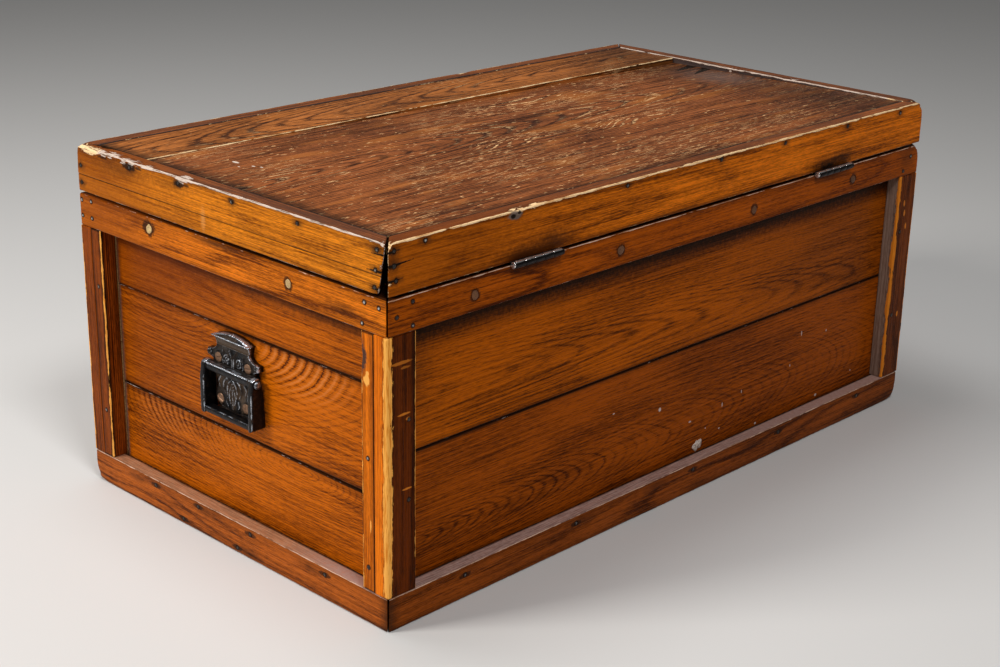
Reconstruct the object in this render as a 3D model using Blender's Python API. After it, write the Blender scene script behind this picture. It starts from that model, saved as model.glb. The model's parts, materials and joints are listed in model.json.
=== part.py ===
"""Boarded tool chest: a case inside a nailed outer frame, a hinged lid and a cast lift handle at each end.

Metres. +X is the right end seen from the front, +Y the back, +Z up, and the origin is under the middle of the base.
"""
import math

import bmesh
import bpy

# Case and lid
CASE_LENGTH = 0.808
CASE_WIDTH = 0.450
CASE_HEIGHT = 0.306
LID_HEIGHT = 0.046
LID_GAP = 0.003

# Outer frame of plinth, stiles and rails
FRAME_THICKNESS = 0.017
PLINTH_HEIGHT = 0.032
TOP_RAIL_HEIGHT = 0.032
STILE_WIDTH = 0.033

# Boards of the case
BOARD_THICKNESS = 0.016
BOTTOM_THICKNESS = 0.014
BOTTOM_BOARD_COUNT = 3
LONG_LOWER_BOARD_TOP = 0.154
END_LOWER_BOARD_TOP = 0.113
END_MIDDLE_BOARD_TOP = 0.217
SEAM_GAP = 0.0006
SHRUNK_SEAM_GAP = 0.0014

# Boards of the lid: the front one tapers, and the wide one has dropped at its warped corner
LID_BOARD_THICKNESS = 0.016
LID_FRONT_BOARD_RIGHT_WIDTH = 0.077
LID_FRONT_BOARD_LEFT_WIDTH = 0.087
LID_BOARD_REVEAL = 0.0004
LID_BOARD_DROP = 0.006
LID_MITRE_OPENING = 0.009

# Butt hinges
HINGE_SPACING = 0.458
HINGE_LENGTH = 0.060
KNUCKLE_COUNT = 5
KNUCKLE_RADIUS = 0.0042
HINGE_PIN_RADIUS = 0.0020
HINGE_PIN_HEAD_RADIUS = 0.0033
HINGE_PIN_HEAD_LENGTH = 0.0022
LEAF_THICKNESS = 0.0020
LEAF_CLEARANCE = 0.0004
LEAF_MARGIN = 0.0025

# Lift handle: heights are measured from the pivot, standoffs from the face of the end boards
HANDLE_HEIGHT = 0.177
PLATE_THICKNESS = 0.0030
CREST_HALF_WIDTH = 0.028
CREST_TOP = 0.037
CREST_RISE = 0.0045
EAVE_FOOT = 0.0250
EAVE_RIDGE = 0.0285
EAVE_FOOT_STANDOFF = 0.0055
EAVE_RIDGE_STANDOFF = 0.0080
EAVE_TOP_STANDOFF = 0.0045
EAVE_OVERHANG = 0.0006
NECK_HALF_WIDTH = 0.0245
NECK_HEIGHT = 0.0240
SHOULDER_HALF_WIDTH = 0.0380
SHOULDER_TOP = 0.0160
SHOULDER_FOOT = 0.0095
WAIST_HALF_WIDTH = 0.0245
WAIST_DEPTH = 0.0150
LOBE_HALF_WIDTH = 0.0295
LOBE_DEPTH = 0.0285
PLATE_FOOT = 0.0400
BARREL_HALF_LENGTH = 0.0330
BARREL_RADIUS = 0.0042
PIVOT_STANDOFF = 0.0090
HANDLE_PIN_RADIUS = 0.0020
HANDLE_PIN_HEAD_RADIUS = 0.0036
HANDLE_PIN_HEAD_LENGTH = 0.0024
BAIL_SIDE_CLEARANCE = 0.0005
BAIL_ARM_THICKNESS = 0.0050
BAIL_BOSS_RADIUS = 0.0056
BAIL_BACK = 0.0078
BAIL_FRONT = 0.0074
BAIL_HEEL = 0.0008
BAIL_HEEL_DEPTH = 0.0290
BAIL_GRIP_THICKNESS = 0.0070
BAIL_FOOT_CLEARANCE = 0.0020
BAIL_CORNER_RADIUS = 0.0035
GRIP_SETBACK = 0.0004

# Slotted round-head screws of the handles
UPPER_SCREW_Y = 0.0220
UPPER_SCREW_Z = 0.0100
LOWER_SCREW_Y = 0.0190
LOWER_SCREW_Z = -0.0300
SCREW_HEAD_RADIUS = 0.0040
SCREW_HEAD_HEIGHT = 0.0022
SCREW_SHANK_RADIUS = 0.0019
SCREW_GRIP = 0.0120
SCREW_POINT = 0.0030
SLOT_WIDTH = 0.0010
SLOT_DEPTH = 0.0010
SLOT_ANGLES = (70, 10, 25, 80)

# Fits between pieces, eased edges and roundness
FIT = 0.0003
WOOD_ARRIS = 0.0010
IRON_ARRIS = 0.0006
SEAT_LAP = 0.0015
CUT_MARGIN = 0.0050
ROUND_SIDES = 16
ARC_STEPS = 8
CURVE_STEPS = 4
WARP_COLUMNS = 8
WARP_ROWS = 4
SHARP_ANGLE = math.radians(40)

# Derived planes
HALF_LENGTH = CASE_LENGTH / 2
HALF_WIDTH = CASE_WIDTH / 2
BOARD_FACE_X = HALF_LENGTH - FRAME_THICKNESS - FIT
BOARD_FACE_Y = HALF_WIDTH - FRAME_THICKNESS - FIT
LID_BOTTOM = CASE_HEIGHT + LID_GAP
LID_TOP = LID_BOTTOM + LID_HEIGHT
HINGE_AXIS_Y = HALF_WIDTH + KNUCKLE_RADIUS + FIT
HINGE_AXIS_Z = CASE_HEIGHT + LID_GAP / 2
MORTISE_DEPTH = LEAF_THICKNESS + LEAF_CLEARANCE / 2 + FIT - LID_GAP / 2
BAIL_INNER_HALF = BARREL_HALF_LENGTH + BAIL_SIDE_CLEARANCE
BAIL_OUTER_HALF = BAIL_INNER_HALF + BAIL_ARM_THICKNESS
BAIL_INNER_DROP = PLATE_FOOT - SEAT_LAP / 2
BAIL_OUTER_DROP = BAIL_INNER_DROP + BAIL_GRIP_THICKNESS


def clear_scene():
    """Empty the scene."""
    for item in list(bpy.data.objects):
        bpy.data.objects.remove(item, do_unlink=True)


def finish(name, colour, roughness, metallic):
    """One Principled material."""
    made = bpy.data.materials.new(name)
    made.use_nodes = True
    shader = made.node_tree.nodes["Principled BSDF"]
    shader.inputs["Base Color"].default_value = (*colour, 1.0)
    shader.inputs["Roughness"].default_value = roughness
    shader.inputs["Metallic"].default_value = metallic
    return made


def make_finishes():
    """The chest's woods and metals."""
    return {
        "frame": finish("frame_wood", (0.30, 0.12, 0.025), 0.45, 0.0),
        "board": finish("board_wood", (0.36, 0.14, 0.025), 0.45, 0.0),
        "lid": finish("lid_wood", (0.16, 0.06, 0.025), 0.50, 0.0),
        "bottom": finish("bottom_wood", (0.42, 0.25, 0.10), 0.70, 0.0),
        "hinge": finish("hinge_steel", (0.06, 0.055, 0.05), 0.40, 1.0),
        "iron": finish("cast_iron", (0.035, 0.035, 0.04), 0.42, 1.0),
        "screw": finish("screw_steel", (0.14, 0.09, 0.06), 0.45, 1.0),
    }


def empty(name, location, parent=None, turn=0.0):
    """A reference frame that pieces hang from."""
    made = bpy.data.objects.new(name, None)
    bpy.context.scene.collection.objects.link(made)
    made.location = location
    made.rotation_euler = (0.0, 0.0, turn)
    made.parent = parent
    return made


def solid(name, shape, material=None, parent=None, location=(0.0, 0.0, 0.0)):
    """Turn a bmesh into a named object."""
    bmesh.ops.recalc_face_normals(shape, faces=shape.faces)
    mesh = bpy.data.meshes.new(name)
    shape.to_mesh(mesh)
    shape.free()
    made = bpy.data.objects.new(name, mesh)
    bpy.context.scene.collection.objects.link(made)
    if material is not None:
        mesh.materials.append(material)
    made.parent = parent
    made.location = location
    return made


def ease(item, width):
    """Take the arris off every sharp edge."""
    bevel = item.modifiers.new("arris", "BEVEL")
    bevel.width = width
    bevel.segments = 1
    bevel.limit_method = "ANGLE"
    bevel.angle_limit = SHARP_ANGLE


def combine(item, tool, operation):
    """Join a hidden tool body to an object, or cut it away."""
    tool.hide_render = True
    tool.display_type = "WIRE"
    boolean = item.modifiers.new(tool.name, "BOOLEAN")
    boolean.operation = operation
    boolean.solver = "EXACT"
    boolean.object = tool


def smooth(item):
    """Shade a round piece smooth between its sharp edges."""
    item.data.shade_smooth()
    item.data.set_sharp_from_angle(angle=SHARP_ANGLE)


def add_loft(shape, loops):
    """Skin a run of equal loops and close both ends."""
    rings = [[shape.verts.new(point) for point in loop] for loop in loops]
    count = len(rings[0])
    for lower, upper in zip(rings, rings[1:]):
        for index in range(count):
            following = (index + 1) % count
            shape.faces.new((lower[index], lower[following], upper[following], upper[index]))
    shape.faces.new(rings[0])
    shape.faces.new(rings[-1])


def loft(loops):
    """One closed body skinned through loops."""
    shape = bmesh.new()
    add_loft(shape, loops)
    return shape


def add_box(shape, low, high):
    """Add a box between two corners."""
    corners = ((low[0], low[1]), (high[0], low[1]), (high[0], high[1]), (low[0], high[1]))
    add_loft(shape, [[(x, y, z) for x, y in corners] for z in (low[2], high[2])])


def box(low, high):
    """A box between two corners."""
    shape = bmesh.new()
    add_box(shape, low, high)
    return shape


def along_x(outline, start, end):
    """Extrude an outline of (y, z) points along X."""
    return loft([[(x, y, z) for y, z in outline] for x in (start, end)])


def along_y(outline, start, end):
    """Extrude an outline of (x, z) points along Y."""
    return loft([[(x, y, z) for x, z in outline] for y in (start, end)])


def add_turned(shape, profile, axis, centre=(0.0, 0.0, 0.0)):
    """Add a turned body: profile holds (distance along the axis, radius) pairs."""
    loops = []
    for distance, radius in profile:
        loop = []
        for step in range(ROUND_SIDES):
            angle = 2 * math.pi * step / ROUND_SIDES
            across = (radius * math.cos(angle), radius * math.sin(angle))
            point = list(across)
            point.insert(axis, distance)
            loop.append([point[index] + centre[index] for index in range(3)])
        loops.append(loop)
    add_loft(shape, loops)


def turned(profile, axis):
    """One turned body."""
    shape = bmesh.new()
    add_turned(shape, profile, axis)
    return shape


def dome(start, radius, height, outward):
    """Profile pairs of a low domed head, from its rim to its small flat top."""
    pairs = []
    for step in range(ARC_STEPS // 2):
        angle = math.pi / 2 * step / (ARC_STEPS // 2)
        pairs.append((start + outward * height * math.sin(angle), radius * math.cos(angle)))
    return pairs


def board(name, low, high, material, parent=None):
    """A plain sawn board with eased arrises."""
    made = solid(name, box(low, high), material, parent)
    ease(made, WOOD_ARRIS)
    return made


def mitred_ring(suffix, bottom, top, material, parent=None, location=(0.0, 0.0, 0.0), opening=0.0):
    """Four mitred strips round the chest. The opening spreads the right strip's back mitre towards its foot."""
    made = {}
    a, b, t = HALF_LENGTH, HALF_WIDTH, FRAME_THICKNESS
    outlines = {
        "front": ((-a + FIT, -b), (a - FIT, -b), (a - t - FIT, -b + t), (-a + t + FIT, -b + t)),
        "back": ((a - FIT, b), (-a + FIT, b), (-a + t + FIT, b - t), (a - t - FIT, b - t)),
        "left": ((-a, b - FIT), (-a, -b + FIT), (-a + t, -b + t + FIT), (-a + t, b - t - FIT)),
        "right": ((a, -b + FIT), (a, b - FIT), (a - t, b - t - FIT), (a - t, -b + t + FIT)),
    }
    for side, outline in outlines.items():
        spread = opening if side == "right" else 0.0
        foot = [(x, y - spread if y > 0 else y, bottom) for x, y in outline]
        head = [(x, y, top) for x, y in outline]
        name = f"{side}_{suffix}"
        made[side] = solid(name, loft([foot, head]), material, parent, location)
        ease(made[side], WOOD_ARRIS)
    return made


def make_bottom(material):
    """Bottom boards lying the long way, with shrinkage gaps between them."""
    pitch = 2 * BOARD_FACE_Y / BOTTOM_BOARD_COUNT
    for index in range(BOTTOM_BOARD_COUNT):
        front = -BOARD_FACE_Y + index * pitch
        low = (-BOARD_FACE_X, front + SEAM_GAP / 2, 0.0)
        high = (BOARD_FACE_X, front + pitch - SEAM_GAP / 2, BOTTOM_THICKNESS)
        board(f"bottom_board_{index + 1}", low, high, material)


def make_long_boards(material):
    """Two boards, one above the other, on the front and on the back."""
    rows = {
        "lower": (BOTTOM_THICKNESS + FIT, LONG_LOWER_BOARD_TOP - SEAM_GAP / 2),
        "upper": (LONG_LOWER_BOARD_TOP + SEAM_GAP / 2, CASE_HEIGHT),
    }
    sides = {
        "front": (-BOARD_FACE_Y, -BOARD_FACE_Y + BOARD_THICKNESS),
        "back": (BOARD_FACE_Y - BOARD_THICKNESS, BOARD_FACE_Y),
    }
    for side, (near, far) in sides.items():
        for row, (bottom, top) in rows.items():
            board(f"{side}_board_{row}", (-BOARD_FACE_X, near, bottom), (BOARD_FACE_X, far, top), material)


def make_end_boards(material, drills):
    """Three boards on each end, between the long boards, drilled for the handle screws."""
    reach = BOARD_FACE_Y - BOARD_THICKNESS - FIT
    rows = {
        "lower": (BOTTOM_THICKNESS + FIT, END_LOWER_BOARD_TOP - SHRUNK_SEAM_GAP / 2),
        "middle": (END_LOWER_BOARD_TOP + SHRUNK_SEAM_GAP / 2, END_MIDDLE_BOARD_TOP - SEAM_GAP / 2),
        "upper": (END_MIDDLE_BOARD_TOP + SEAM_GAP / 2, CASE_HEIGHT),
    }
    sides = {
        "right": (BOARD_FACE_X - BOARD_THICKNESS, BOARD_FACE_X),
        "left": (-BOARD_FACE_X, -BOARD_FACE_X + BOARD_THICKNESS),
    }
    for side, (inner, outer) in sides.items():
        for row, (bottom, top) in rows.items():
            made = board(f"{side}_end_board_{row}", (inner, -reach, bottom), (outer, reach, top), material)
            combine(made, drills[side], "DIFFERENCE")


def make_stiles(material):
    """Two stiles at each corner: the long-side stile laps the edge of the end stile."""
    bottom = PLINTH_HEIGHT + FIT
    top = CASE_HEIGHT - TOP_RAIL_HEIGHT - FIT
    for end, x_sign in (("right", 1), ("left", -1)):
        for side, y_sign in (("front", -1), ("back", 1)):
            x_outer = x_sign * HALF_LENGTH
            x_face = x_sign * (HALF_LENGTH - FRAME_THICKNESS)
            x_inner = x_sign * (HALF_LENGTH - STILE_WIDTH)
            y_outer = y_sign * HALF_WIDTH
            y_face = y_sign * (HALF_WIDTH - FRAME_THICKNESS)
            y_lap = y_sign * (HALF_WIDTH - FRAME_THICKNESS - FIT)
            y_inner = y_sign * (HALF_WIDTH - STILE_WIDTH)
            board(
                f"{end}_{side}_long_stile",
                (min(x_outer, x_inner), min(y_outer, y_face), bottom),
                (max(x_outer, x_inner), max(y_outer, y_face), top),
                material,
            )
            board(
                f"{end}_{side}_end_stile",
                (min(x_outer, x_face), min(y_lap, y_inner), bottom),
                (max(x_outer, x_face), max(y_lap, y_inner), top),
                material,
            )


def warped_slab(corners, drops, top, rows):
    """A lid board whose four corners, taken in turn, sit below the stated top by their own drops."""
    shape = bmesh.new()

    def blend(values, s, t):
        near = values[0] * (1 - s) + values[3] * s
        far = values[1] * (1 - s) + values[2] * s
        return near * (1 - t) + far * t

    layers = []
    for depth in (0.0, LID_BOARD_THICKNESS):
        grid = []
        for row in range(rows + 1):
            line = []
            for column in range(WARP_COLUMNS + 1):
                s, t = column / WARP_COLUMNS, row / rows
                x = blend([corner[0] for corner in corners], s, t)
                y = blend([corner[1] for corner in corners], s, t)
                line.append(shape.verts.new((x, y, top - blend(drops, s, t) - depth)))
            grid.append(line)
        layers.append(grid)
    for grid in layers:
        for row in range(rows):
            for column in range(WARP_COLUMNS):
                shape.faces.new((grid[row][column], grid[row][column + 1],
                                 grid[row + 1][column + 1], grid[row + 1][column]))
    rims = []
    for grid in layers:
        rim = grid[0][:-1] + [line[-1] for line in grid[:-1]]
        rim += grid[-1][:0:-1] + [line[0] for line in grid[:0:-1]]
        rims.append(rim)
    count = len(rims[0])
    for index in range(count):
        following = (index + 1) % count
        shape.faces.new((rims[0][index], rims[0][following], rims[1][following], rims[1][index]))
    return shape


def make_lid_boards(material, parent, location):
    """A tapered front board and a wide, warped rear board, held inside the lid rails."""
    x_end = HALF_LENGTH - FRAME_THICKNESS - FIT
    y_front = -(HALF_WIDTH - FRAME_THICKNESS - FIT)
    y_back = -y_front
    seam_right = y_front + LID_FRONT_BOARD_RIGHT_WIDTH
    seam_left = y_front + LID_FRONT_BOARD_LEFT_WIDTH
    reveal = LID_BOARD_REVEAL
    front_corners = ((x_end, y_front), (x_end, seam_right), (-x_end, seam_left), (-x_end, y_front))
    front = warped_slab(front_corners, (reveal,) * 4, LID_TOP, 1)
    rear_corners = (
        (x_end, seam_right + SEAM_GAP),
        (x_end, y_back),
        (-x_end, y_back),
        (-x_end, seam_left + SEAM_GAP),
    )
    rear_drops = (reveal, reveal, reveal, reveal + LID_BOARD_DROP)
    rear = warped_slab(rear_corners, rear_drops, LID_TOP, WARP_ROWS)
    for name, shape in (("lid_board_front", front), ("lid_board_rear", rear)):
        made = solid(name, shape, material, parent, location)
        ease(made, WOOD_ARRIS)


def knuckle_span(index):
    """Start and end of one knuckle along the hinge."""
    pitch = HINGE_LENGTH / KNUCKLE_COUNT
    start = -HINGE_LENGTH / 2 + index * pitch
    return start + FIT / 2, start + pitch - FIT / 2


def hinge_leaf(name, first_knuckle, upward, material, parent, location):
    """A leaf with its rolled knuckles, in a frame whose X axis is the pin."""
    inner = -(HINGE_AXIS_Y - HALF_WIDTH + FRAME_THICKNESS - LEAF_MARGIN)
    root = -(KNUCKLE_RADIUS + FIT)
    bore = HINGE_PIN_RADIUS + FIT
    tip = -(KNUCKLE_RADIUS + bore) / 2
    near = upward * LEAF_CLEARANCE / 2
    far = upward * (LEAF_CLEARANCE / 2 + LEAF_THICKNESS)
    outline = [(-HINGE_LENGTH / 2, inner), (-HINGE_LENGTH / 2, root)]
    eyes = bmesh.new()
    bores = bmesh.new()
    for index in range(first_knuckle, KNUCKLE_COUNT, 2):
        start, end = knuckle_span(index)
        outline += [(start + FIT, root), (start + FIT, tip), (end - FIT, tip), (end - FIT, root)]
        add_turned(eyes, ((start, KNUCKLE_RADIUS), (end, KNUCKLE_RADIUS)), 0)
    outline += [(HINGE_LENGTH / 2, root), (HINGE_LENGTH / 2, inner)]
    add_turned(bores, ((-HINGE_LENGTH, bore), (HINGE_LENGTH, bore)), 0)
    leaf = solid(name, loft([[(x, y, z) for x, y in outline] for z in (near, far)]), material, parent, location)
    combine(leaf, solid(f"{name}_eyes", eyes, None, parent, location), "UNION")
    combine(leaf, solid(f"{name}_bore", bores, None, parent, location), "DIFFERENCE")
    return leaf


def make_hinges(rails, lid_rails, material, lid_axis):
    """Two butt hinges whose leaves lie in shallow mortises between the back rails."""
    leaf_front = HALF_WIDTH - FRAME_THICKNESS + LEAF_MARGIN - FIT
    reach = HINGE_LENGTH / 2 + FIT
    for side, x in (("right", HINGE_SPACING / 2), ("left", -HINGE_SPACING / 2)):
        axis = empty(f"{side}_hinge_axis", (x, HINGE_AXIS_Y, HINGE_AXIS_Z))
        hinge_leaf(f"{side}_hinge_case_leaf", 0, -1, material, axis, (0.0, 0.0, 0.0))
        hinge_leaf(f"{side}_hinge_lid_leaf", 1, 1, material, lid_axis, (x, 0.0, 0.0))
        start = HINGE_LENGTH / 2
        rim = start + FIT + HINGE_PIN_HEAD_LENGTH / 2
        head = dome(rim, HINGE_PIN_HEAD_RADIUS, HINGE_PIN_HEAD_LENGTH / 2, 1)
        half = [(start + FIT, HINGE_PIN_RADIUS), (start + FIT, HINGE_PIN_HEAD_RADIUS)] + head
        profile = [(-distance, radius) for distance, radius in reversed(half)] + half
        smooth(solid(f"{side}_hinge_pin", turned(profile, 0), material, axis))
        low = (x - reach, leaf_front, CASE_HEIGHT - MORTISE_DEPTH)
        high = (x + reach, HALF_WIDTH + CUT_MARGIN, CASE_HEIGHT + CUT_MARGIN)
        combine(rails["back"], solid(f"{side}_case_mortise", box(low, high)), "DIFFERENCE")
        low = (x - reach, leaf_front, LID_BOTTOM - CUT_MARGIN)
        high = (x + reach, HALF_WIDTH + CUT_MARGIN, LID_BOTTOM + MORTISE_DEPTH)
        combine(lid_rails["back"], solid(f"{side}_lid_mortise", box(low, high)), "DIFFERENCE")


def curve_through(points):
    """A smooth open curve through a few points, ends included."""
    padded = [points[0]] + list(points) + [points[-1]]
    curve = []
    for before, start, end, after in zip(padded, padded[1:], padded[2:], padded[3:]):
        for step in range(CURVE_STEPS):
            t = step / CURVE_STEPS
            place = []
            for p, q, r, s in zip(before, start, end, after):
                place.append(0.5 * (2 * q + (r - p) * t + (2 * p - 5 * q + 4 * r - s) * t * t
                                    + (3 * q - p - 3 * r + s) * t ** 3))
            curve.append(tuple(place))
    return curve + [tuple(points[-1])]


def crest_height(y):
    """Top edge of the plate, an arch that falls to each side."""
    return CREST_TOP - CREST_RISE * (y / CREST_HALF_WIDTH) ** 2


def plate_outline():
    """Outline of the handle plate: arched crest, coved shoulders, waist and lobed foot."""
    arch = []
    for step in range(ARC_STEPS):
        y = CREST_HALF_WIDTH * (step + 0.5) / ARC_STEPS
        arch.append((y, crest_height(y)))
    arch.append((CREST_HALF_WIDTH, crest_height(CREST_HALF_WIDTH)))
    arch.append((CREST_HALF_WIDTH, EAVE_FOOT))
    cove = []
    for step in range(ARC_STEPS + 1):
        angle = math.pi / 2 * step / ARC_STEPS
        y = SHOULDER_HALF_WIDTH - (SHOULDER_HALF_WIDTH - NECK_HALF_WIDTH) * math.cos(angle)
        cove.append((y, NECK_HEIGHT - (NECK_HEIGHT - SHOULDER_TOP) * math.sin(angle)))
    barrel_edge = BARREL_HALF_LENGTH - SEAT_LAP
    scroll = [(SHOULDER_HALF_WIDTH, SHOULDER_FOOT + SEAT_LAP), (SHOULDER_HALF_WIDTH - SEAT_LAP, SHOULDER_FOOT),
              (barrel_edge, SHOULDER_FOOT - SEAT_LAP)]
    vase = curve_through((
        (barrel_edge, -BARREL_RADIUS),
        ((barrel_edge + WAIST_HALF_WIDTH) / 2, -(BARREL_RADIUS + WAIST_DEPTH) / 2),
        (WAIST_HALF_WIDTH, -WAIST_DEPTH),
        (LOBE_HALF_WIDTH, -LOBE_DEPTH),
        ((LOBE_HALF_WIDTH + LOWER_SCREW_Y) / 2, -(LOBE_DEPTH + 3 * PLATE_FOOT) / 4),
        (LOWER_SCREW_Y / 2, -PLATE_FOOT),
    ))
    half = arch + cove + scroll + vase
    return half + [(-y, z) for y, z in reversed(half)]


def make_handle_plate(name, material, seat):
    """Cast back plate with a moulded crest and the barrel that carries the bail."""
    plate = solid(name, along_x(plate_outline(), FIT, PLATE_THICKNESS), material, seat)
    ease(plate, IRON_ARRIS)
    inside = PLATE_THICKNESS - SEAT_LAP
    stations = 2 * ARC_STEPS
    sections = []
    for step in range(stations + 1):
        y = (CREST_HALF_WIDTH + EAVE_OVERHANG) * (2 * step / stations - 1)
        top = crest_height(y) + EAVE_OVERHANG
        section = ((inside, EAVE_FOOT), (EAVE_FOOT_STANDOFF, EAVE_FOOT), (EAVE_RIDGE_STANDOFF, EAVE_RIDGE),
                   (EAVE_TOP_STANDOFF, top), (inside, top))
        sections.append([(x, y, z) for x, z in section])
    combine(plate, solid(f"{name}_eave", loft(sections), None, seat), "UNION")
    barrel = [(inside, -BARREL_RADIUS)]
    for step in range(ARC_STEPS + 1):
        angle = math.pi * (step / ARC_STEPS - 0.5)
        barrel.append((PIVOT_STANDOFF + BARREL_RADIUS * math.cos(angle), BARREL_RADIUS * math.sin(angle)))
    barrel.append((inside, BARREL_RADIUS))
    shape = along_y(barrel, -BARREL_HALF_LENGTH, BARREL_HALF_LENGTH)
    combine(plate, solid(f"{name}_barrel", shape, None, seat), "UNION")
    bores = bmesh.new()
    reach = BARREL_HALF_LENGTH + CUT_MARGIN
    bore = HANDLE_PIN_RADIUS + FIT
    add_turned(bores, ((-reach, bore), (reach, bore)), 1, (PIVOT_STANDOFF, 0.0, 0.0))
    for y, z in screw_places():
        hole = SCREW_SHANK_RADIUS + FIT
        add_turned(bores, ((-CUT_MARGIN, hole), (CUT_MARGIN, hole)), 0, (PLATE_THICKNESS / 2, y, z))
    combine(plate, solid(f"{name}_bores", bores, None, seat), "DIFFERENCE")


def bail_profile(foot):
    """Side outline of a bail arm, around the pivot: a rounded boss, a deep arm and a heel down to the foot."""
    outline = []
    for step in range(ARC_STEPS + 1):
        angle = math.pi * step / ARC_STEPS
        outline.append((BAIL_BOSS_RADIUS * math.cos(angle), BAIL_BOSS_RADIUS * math.sin(angle)))
    back, front = -BAIL_BACK, BAIL_FRONT
    shoulder = -2 * BAIL_BOSS_RADIUS
    outline += [(back, shoulder), (back, -BAIL_HEEL_DEPTH), (back - BAIL_HEEL, -BAIL_HEEL_DEPTH - BAIL_HEEL)]
    outline += [(back - BAIL_HEEL, foot), (front, foot), (front, shoulder)]
    return outline


def add_bail_arm(shape, side):
    """Add one arm, its lower outer corner rounded off."""
    radius = min(BAIL_CORNER_RADIUS, BAIL_ARM_THICKNESS - SEAT_LAP)
    sections = [[(x, side * BAIL_INNER_HALF, z) for x, z in bail_profile(-BAIL_OUTER_DROP)]]
    for step in range(ARC_STEPS // 2 + 1):
        angle = math.pi / 2 * step / (ARC_STEPS // 2)
        y = side * (BAIL_OUTER_HALF - radius + radius * math.sin(angle))
        foot = -BAIL_OUTER_DROP + radius * (1 - math.cos(angle))
        sections.append([(x, y, z) for x, z in bail_profile(foot)])
    add_loft(shape, sections)


def grip_profile():
    """Section of the grip bar: an oval that sits between the arms' feet, clear of the plate."""
    back = PLATE_THICKNESS + BAIL_FOOT_CLEARANCE - PIVOT_STANDOFF
    front = BAIL_FRONT - GRIP_SETBACK
    middle = -BAIL_INNER_DROP - BAIL_GRIP_THICKNESS / 2
    half = BAIL_GRIP_THICKNESS / 2 - GRIP_SETBACK
    outline = []
    for step in range(2 * ARC_STEPS):
        angle = math.pi * (step + 0.5) / ARC_STEPS
        centre = front - half if math.cos(angle) > 0 else back + half
        outline.append((centre + half * math.cos(angle), middle + half * math.sin(angle)))
    return outline


def make_bail(name, material, pivot):
    """The lifting bail: an oval grip cast between two deep arms, with eyes for the pin."""
    reach = BAIL_INNER_HALF + BAIL_ARM_THICKNESS / 2
    bail = solid(name, along_y(grip_profile(), -reach, reach), material, pivot)
    arms = bmesh.new()
    for side in (-1, 1):
        add_bail_arm(arms, side)
    combine(bail, solid(f"{name}_arms", arms, None, pivot), "UNION")
    through = 2 * BAIL_OUTER_HALF
    bore = HANDLE_PIN_RADIUS + FIT
    eyes = turned(((-through, bore), (through, bore)), 1)
    combine(bail, solid(f"{name}_eyes", eyes, None, pivot), "DIFFERENCE")


def make_handle_pin(name, material, pivot):
    """Riveted pivot pin through both arms and the barrel."""
    start = BAIL_OUTER_HALF + FIT
    head = dome(start + HANDLE_PIN_HEAD_LENGTH / 2, HANDLE_PIN_HEAD_RADIUS, HANDLE_PIN_HEAD_LENGTH / 2, 1)
    half = [(start, HANDLE_PIN_RADIUS), (start, HANDLE_PIN_HEAD_RADIUS)] + head
    profile = [(-distance, radius) for distance, radius in reversed(half)] + half
    smooth(solid(name, turned(profile, 1), material, pivot))


def screw_places():
    """Centres of a handle's four screws, upper pair first."""
    upper = ((-UPPER_SCREW_Y, UPPER_SCREW_Z), (UPPER_SCREW_Y, UPPER_SCREW_Z))
    lower = ((-LOWER_SCREW_Y, LOWER_SCREW_Z), (LOWER_SCREW_Y, LOWER_SCREW_Z))
    return upper + lower


def make_screw(name, y, z, slot_angle, material, seat):
    """A slotted round-head wood screw through the plate."""
    under = PLATE_THICKNESS + FIT
    head = dome(under + FIT, SCREW_HEAD_RADIUS, SCREW_HEAD_HEIGHT, 1)
    profile = [(-SCREW_GRIP, SCREW_SHANK_RADIUS / 4), (-SCREW_GRIP + SCREW_POINT, SCREW_SHANK_RADIUS)]
    profile += [(under, SCREW_SHANK_RADIUS), (under, SCREW_HEAD_RADIUS)] + head
    screw = solid(name, turned(profile, 0), material, seat, (0.0, y, z))
    crown = under + FIT + SCREW_HEAD_HEIGHT
    low = (crown - SLOT_DEPTH, -2 * SCREW_HEAD_RADIUS, -SLOT_WIDTH / 2)
    high = (crown + CUT_MARGIN, 2 * SCREW_HEAD_RADIUS, SLOT_WIDTH / 2)
    slot = solid(f"{name}_slot", box(low, high), None, seat, (0.0, y, z))
    slot.rotation_euler = (math.radians(slot_angle), 0.0, 0.0)
    combine(screw, slot, "DIFFERENCE")
    smooth(screw)


def make_drill(name, seat):
    """The pilot holes that the handle screws bite into."""
    holes = bmesh.new()
    radius = SCREW_SHANK_RADIUS + FIT
    for y, z in screw_places():
        add_turned(holes, ((-SCREW_GRIP - FIT, radius), (CUT_MARGIN, radius)), 0, (0.0, y, z))
    return solid(name, holes, None, seat)


def make_handles(finishes):
    """A lift handle on each end; returns the pilot holes for the end boards."""
    drills = {}
    for side, x, turn in (("right", BOARD_FACE_X, 0.0), ("left", -BOARD_FACE_X, math.pi)):
        seat = empty(f"{side}_handle_seat", (x, 0.0, HANDLE_HEIGHT), None, turn)
        pivot = empty(f"{side}_handle_pivot", (PIVOT_STANDOFF, 0.0, 0.0), seat)
        make_handle_plate(f"{side}_handle_plate", finishes["iron"], seat)
        make_bail(f"{side}_handle_bail", finishes["iron"], pivot)
        make_handle_pin(f"{side}_handle_pin", finishes["iron"], pivot)
        for index, (y, z) in enumerate(screw_places()):
            make_screw(f"{side}_handle_screw_{index + 1}", y, z, SLOT_ANGLES[index], finishes["screw"], seat)
        drills[side] = make_drill(f"{side}_pilot_holes", seat)
    return drills


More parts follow.
